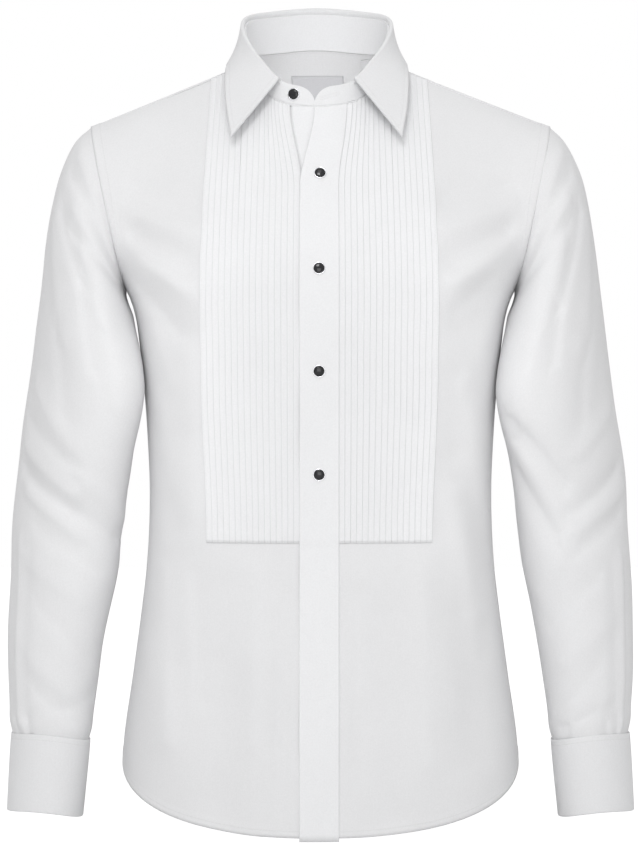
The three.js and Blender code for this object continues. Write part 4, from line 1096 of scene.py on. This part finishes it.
# Collar stand, with a lap over the neck's seam and its button hole
left_end = STAND_END["left"] - (STAND_END["left"] - FALL_END) * steps(70) ** 1.2
right_end = -(STAND_END["right"] - (STAND_END["right"] - FALL_END) * steps(30) ** 1.2)
fall_b = np.linspace(FALL_END, -FALL_END, 181)
stand_b = np.concatenate([left_end[:-1], fall_b, right_end[::-1][1:]])
grid = stand_point(stand_b[None, :], steps(36)[:, None])
ahead = smooth((np.abs(stand_b) - 100) / 20)[:, None]
lap = grid[0] + (vec(0, -0.55, -0.83) * STAND_LAP["down"] + vec(0, -0.83, 0.55) * STAND_LAP["out"]) * ahead
grid = np.concatenate([lap[None], lerp(lap, grid[0], 0.5)[None], grid])
hole = stand_point(BUTTONHOLE["b"], BUTTONHOLE["share"])
ways = {"from_hole": np.linalg.norm(way_from(grid, hole[0], hole[1]), axis=-1)}
faces = {**COLLAR_FACES, "fields": ways}
sew("collar_stand", grid, "fused_cloth", stand_cloth, (440, 40), 0.0133, ["yoke"], **faces)

# Collar fall
grid = fall_grid(fall_b, steps(30)[1:])
ways = edges_of(grid, ["top", "left", "right"])
ways = {"from_edge": np.minimum(ways["from_top"], np.minimum(ways["from_left"], ways["from_right"]))}
faces = {**COLLAR_FACES, "fields": ways}
sew("collar_fall", grid, "fused_cloth", collar_cloth, (500, 80), 0.024, ["collar_stand"], **faces)

# Blank label and size tab
tabs = (("neck_label", LABEL, label_cloth, (55, 50)), ("size_tab", SIZE_TAB, tab_cloth, (11, 17)))
for name, tab, material, size in tabs:
    bs = tab["at"] + np.linspace(tab["half"], -tab["half"], 25)
    zs = np.linspace(tab["bottom"], tab["top"], 21)
    grid = yoke_at_z(bs[None, :], zs[:, None])
    faces = {**LABEL_FACES, "fields": edges_of(grid, ["top"])}
    sew(name, grid, "label_satin", material, size, None, ["yoke"], **faces)

# Studs and links: a rounded metal rim around a domed black face, seated on the cloth
STUD_SIDES = 48
RIM_PROFILE = {
    "radius": [0, 0.9, 0.97, 1, 1, 0.975, 0.93, 0.88, 0.84, 0.82, 0],
    "height": [-0.25, -0.25, 0, 0.4, 0.8, 1.1, 1.3, 1.32, 1.2, 0.95, 0.95],
}
FACE_PROFILE = {
    "radius": [0, 0.96, 1, 1, 0.96, 0.86, 0.7, 0.5, 0.28, 0.1, 0],
    "height": [0.97, 0.97, 1.1, 1.35, 1.55, 1.75, 1.95, 2.12, 2.23, 2.27, 2.28],
}


def turned(name, profile, radius, place, axis):
    """A solid turned from a profile that starts and ends on its axis. Its radii are shares of the radius."""
    aim = axis.to_track_quat("Z", "Y")
    rings = list(zip(profile["radius"], profile["height"]))
    points = [place + axis * (rings[0][1] * MM)]
    for share, height in rings[1:-1]:
        for i in range(STUD_SIDES):
            angle = 2 * math.pi * i / STUD_SIDES
            spot = Vector((share * radius * math.cos(angle), share * radius * math.sin(angle), height * MM))
            points.append(place + aim @ spot)
    points.append(place + axis * (rings[-1][1] * MM))
    last = len(points) - 1
    top = last - STUD_SIDES
    faces = []
    for i in range(STUD_SIDES):
        after = (i + 1) % STUD_SIDES
        faces.append((0, 1 + after, 1 + i))
        for low in range(1, top, STUD_SIDES):
            high = low + STUD_SIDES
            faces.append((low + i, low + after, high + after, high + i))
        faces.append((top + i, top + after, last))
    mesh = bpy.data.meshes.new(name)
    mesh.from_pydata([tuple(point) for point in points], [], faces)
    mesh.polygons.foreach_set("use_smooth", [True] * len(mesh.polygons))
    mesh.update()
    piece = bpy.data.objects.new(name, mesh)
    bpy.context.scene.collection.objects.link(piece)
    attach(piece, "root")
    return piece


def size_of(node):
    """Middle and half size of a node's box."""
    corners = [node.matrix_world @ Vector(corner) for corner in node.bound_box]
    low = Vector([min(corner[i] for corner in corners) for i in range(3)])
    high = Vector([max(corner[i] for corner in corners) for i in range(3)])
    return (low + high) / 2, max(high - low) / 2


studs = [(f"stud_rim_{i}", f"stud_face_{i}", "placket_cloth") for i in range(1, 5)]
studs.append(("collar_stud_rim", "collar_stud_face", "collar_stand_cloth"))
studs += [(f"cuff_link_rim_{name}", f"cuff_link_face_{name}", f"cuff_{name}_cloth") for name, _ in SIDES]
bpy.context.view_layer.update()
for rim, face, cloth_name in studs:
    middle, radius = size_of(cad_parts[face])
    rim_radius = size_of(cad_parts[rim])[1]
    _, place, axis, _ = bpy.data.objects[cloth_name].closest_point_on_mesh(middle)
    for node, profile, wide, slot, material in (
        (rim, RIM_PROFILE, rim_radius, "stud_metal", rim_metal),
        (face, FACE_PROFILE, min(radius, rim_radius * 0.83), "stud_black", face_stone),
    ):
        piece = turned(f"{node}_piece", profile, wide, place, axis)
        dress(piece, node, material)

# Camera, at the middle of the shirt's height, level
PHOTO = (638, 850)
DISTANCE = 2.6
MM_PER_PIXEL = 0.98
SENSOR = 36.0
camera_data = bpy.data.cameras.new("camera")
camera_data.sensor_width = SENSOR
camera_data.lens = SENSOR * DISTANCE / (PHOTO[1] * MM_PER_PIXEL * MM)
camera = bpy.data.objects.new("camera", camera_data)
camera.location = (-0.0015, -DISTANCE, -0.34)
camera.rotation_euler = (math.radians(90), 0, 0)
bpy.context.scene.collection.objects.link(camera)
bpy.context.scene.camera = camera

# Plain pale floor and soft light
SKY = {"base": 0.42, "front": 0.34, "back": 0.5, "top": 0.24}
bpy.ops.mesh.primitive_plane_add(size=12, location=(0, 0, cad_low[2] - 0.06))
floor = bpy.context.object
floor.name = "floor"
floor_material = bpy.data.materials.new("pale_floor")
floor_material.use_nodes = True
floor_tree = floor_material.node_tree
floor_shader = floor_tree.nodes["Principled BSDF"]
floor_shader.inputs["Base Color"].default_value = (0.82, 0.82, 0.82, 1)
floor_shader.inputs["Roughness"].default_value = 0.9
floor_shader.inputs["Emission Color"].default_value = (1, 1, 1, 1)
seen_directly = node_of(floor_tree, "ShaderNodeLightPath").outputs["Is Camera Ray"]
glow = math_node(floor_tree, "MULTIPLY", seen_directly, 0.5)
floor_tree.links.new(glow, floor_shader.inputs["Emission Strength"])
floor.data.materials.append(floor_material)

# White studio: it looks plain white to the camera, and lights the shirt more from the front and above
world = bpy.data.worlds.new("white_studio")
bpy.context.scene.world = world
world.use_nodes = True
sky = world.node_tree
sky.nodes.clear()
direction = node_of(sky, "ShaderNodeTexCoord").outputs["Generated"]
_, depth, up = node_of(sky, "ShaderNodeSeparateXYZ", Vector=direction).outputs
front_share = math_node(sky, "MAXIMUM", math_node(sky, "MULTIPLY", depth, -1.0), 0.0)
back_share = math_node(sky, "MAXIMUM", depth, 0.0)
strength = math_node(sky, "MULTIPLY_ADD", front_share, SKY["front"], SKY["base"])
strength = math_node(sky, "MULTIPLY_ADD", back_share, SKY["back"], strength)
strength = math_node(sky, "MULTIPLY_ADD", up, SKY["top"], strength)
lighting = node_of(sky, "ShaderNodeBackground", Strength=strength)
seen = node_of(sky, "ShaderNodeBackground", Strength=1.0)
for shade in (lighting, seen):
    shade.inputs["Color"].default_value = (1, 1, 1, 1)
choice = sky.nodes.new("ShaderNodeMixShader")
sky.links.new(node_of(sky, "ShaderNodeLightPath").outputs["Is Camera Ray"], choice.inputs[0])
sky.links.new(lighting.outputs[0], choice.inputs[1])
sky.links.new(seen.outputs[0], choice.inputs[2])
sky.links.new(choice.outputs[0], node_of(sky, "ShaderNodeOutputWorld").inputs["Surface"])


def softbox(name, place, aim, size, power, seen=True):
    data = bpy.data.lights.new(name, "AREA")
    data.shape = "RECTANGLE"
    data.size, data.size_y = size
    data.energy = power
    lamp = bpy.data.objects.new(name, data)
    lamp.location = place
    lamp.rotation_euler = (Vector(aim) - Vector(place)).to_track_quat("-Z", "Y").to_euler()
    lamp.visible_camera = seen
    bpy.context.scene.collection.objects.link(lamp)


softbox("key", (-0.3, -2.6, 1.5), (0, 0, -0.3), (1.0, 1.0), 22)
softbox("front", (0.1, -2.9, -0.3), (0, 0, -0.45), (1.2, 1.2), 9)
softbox("upper", (0, -1.3, 1.5), (0, 0, -0.02), (0.7, 0.7), 1.8)
softbox("inside", (0, -0.01, -0.13), (0, 0.09, -0.03), (0.16, 0.1), 0.14, seen=False)
for name, side in SIDES:
    place, aim = (side * 0.17, -0.18, -0.32), (side * 0.17, 0, -0.31)
    softbox(f"under_arm_{name}", place, aim, (0.05, 0.3), 0.02, seen=False)
bpy.context.scene.view_settings.view_transform = "Standard"
bpy.context.scene.view_settings.look = "None"
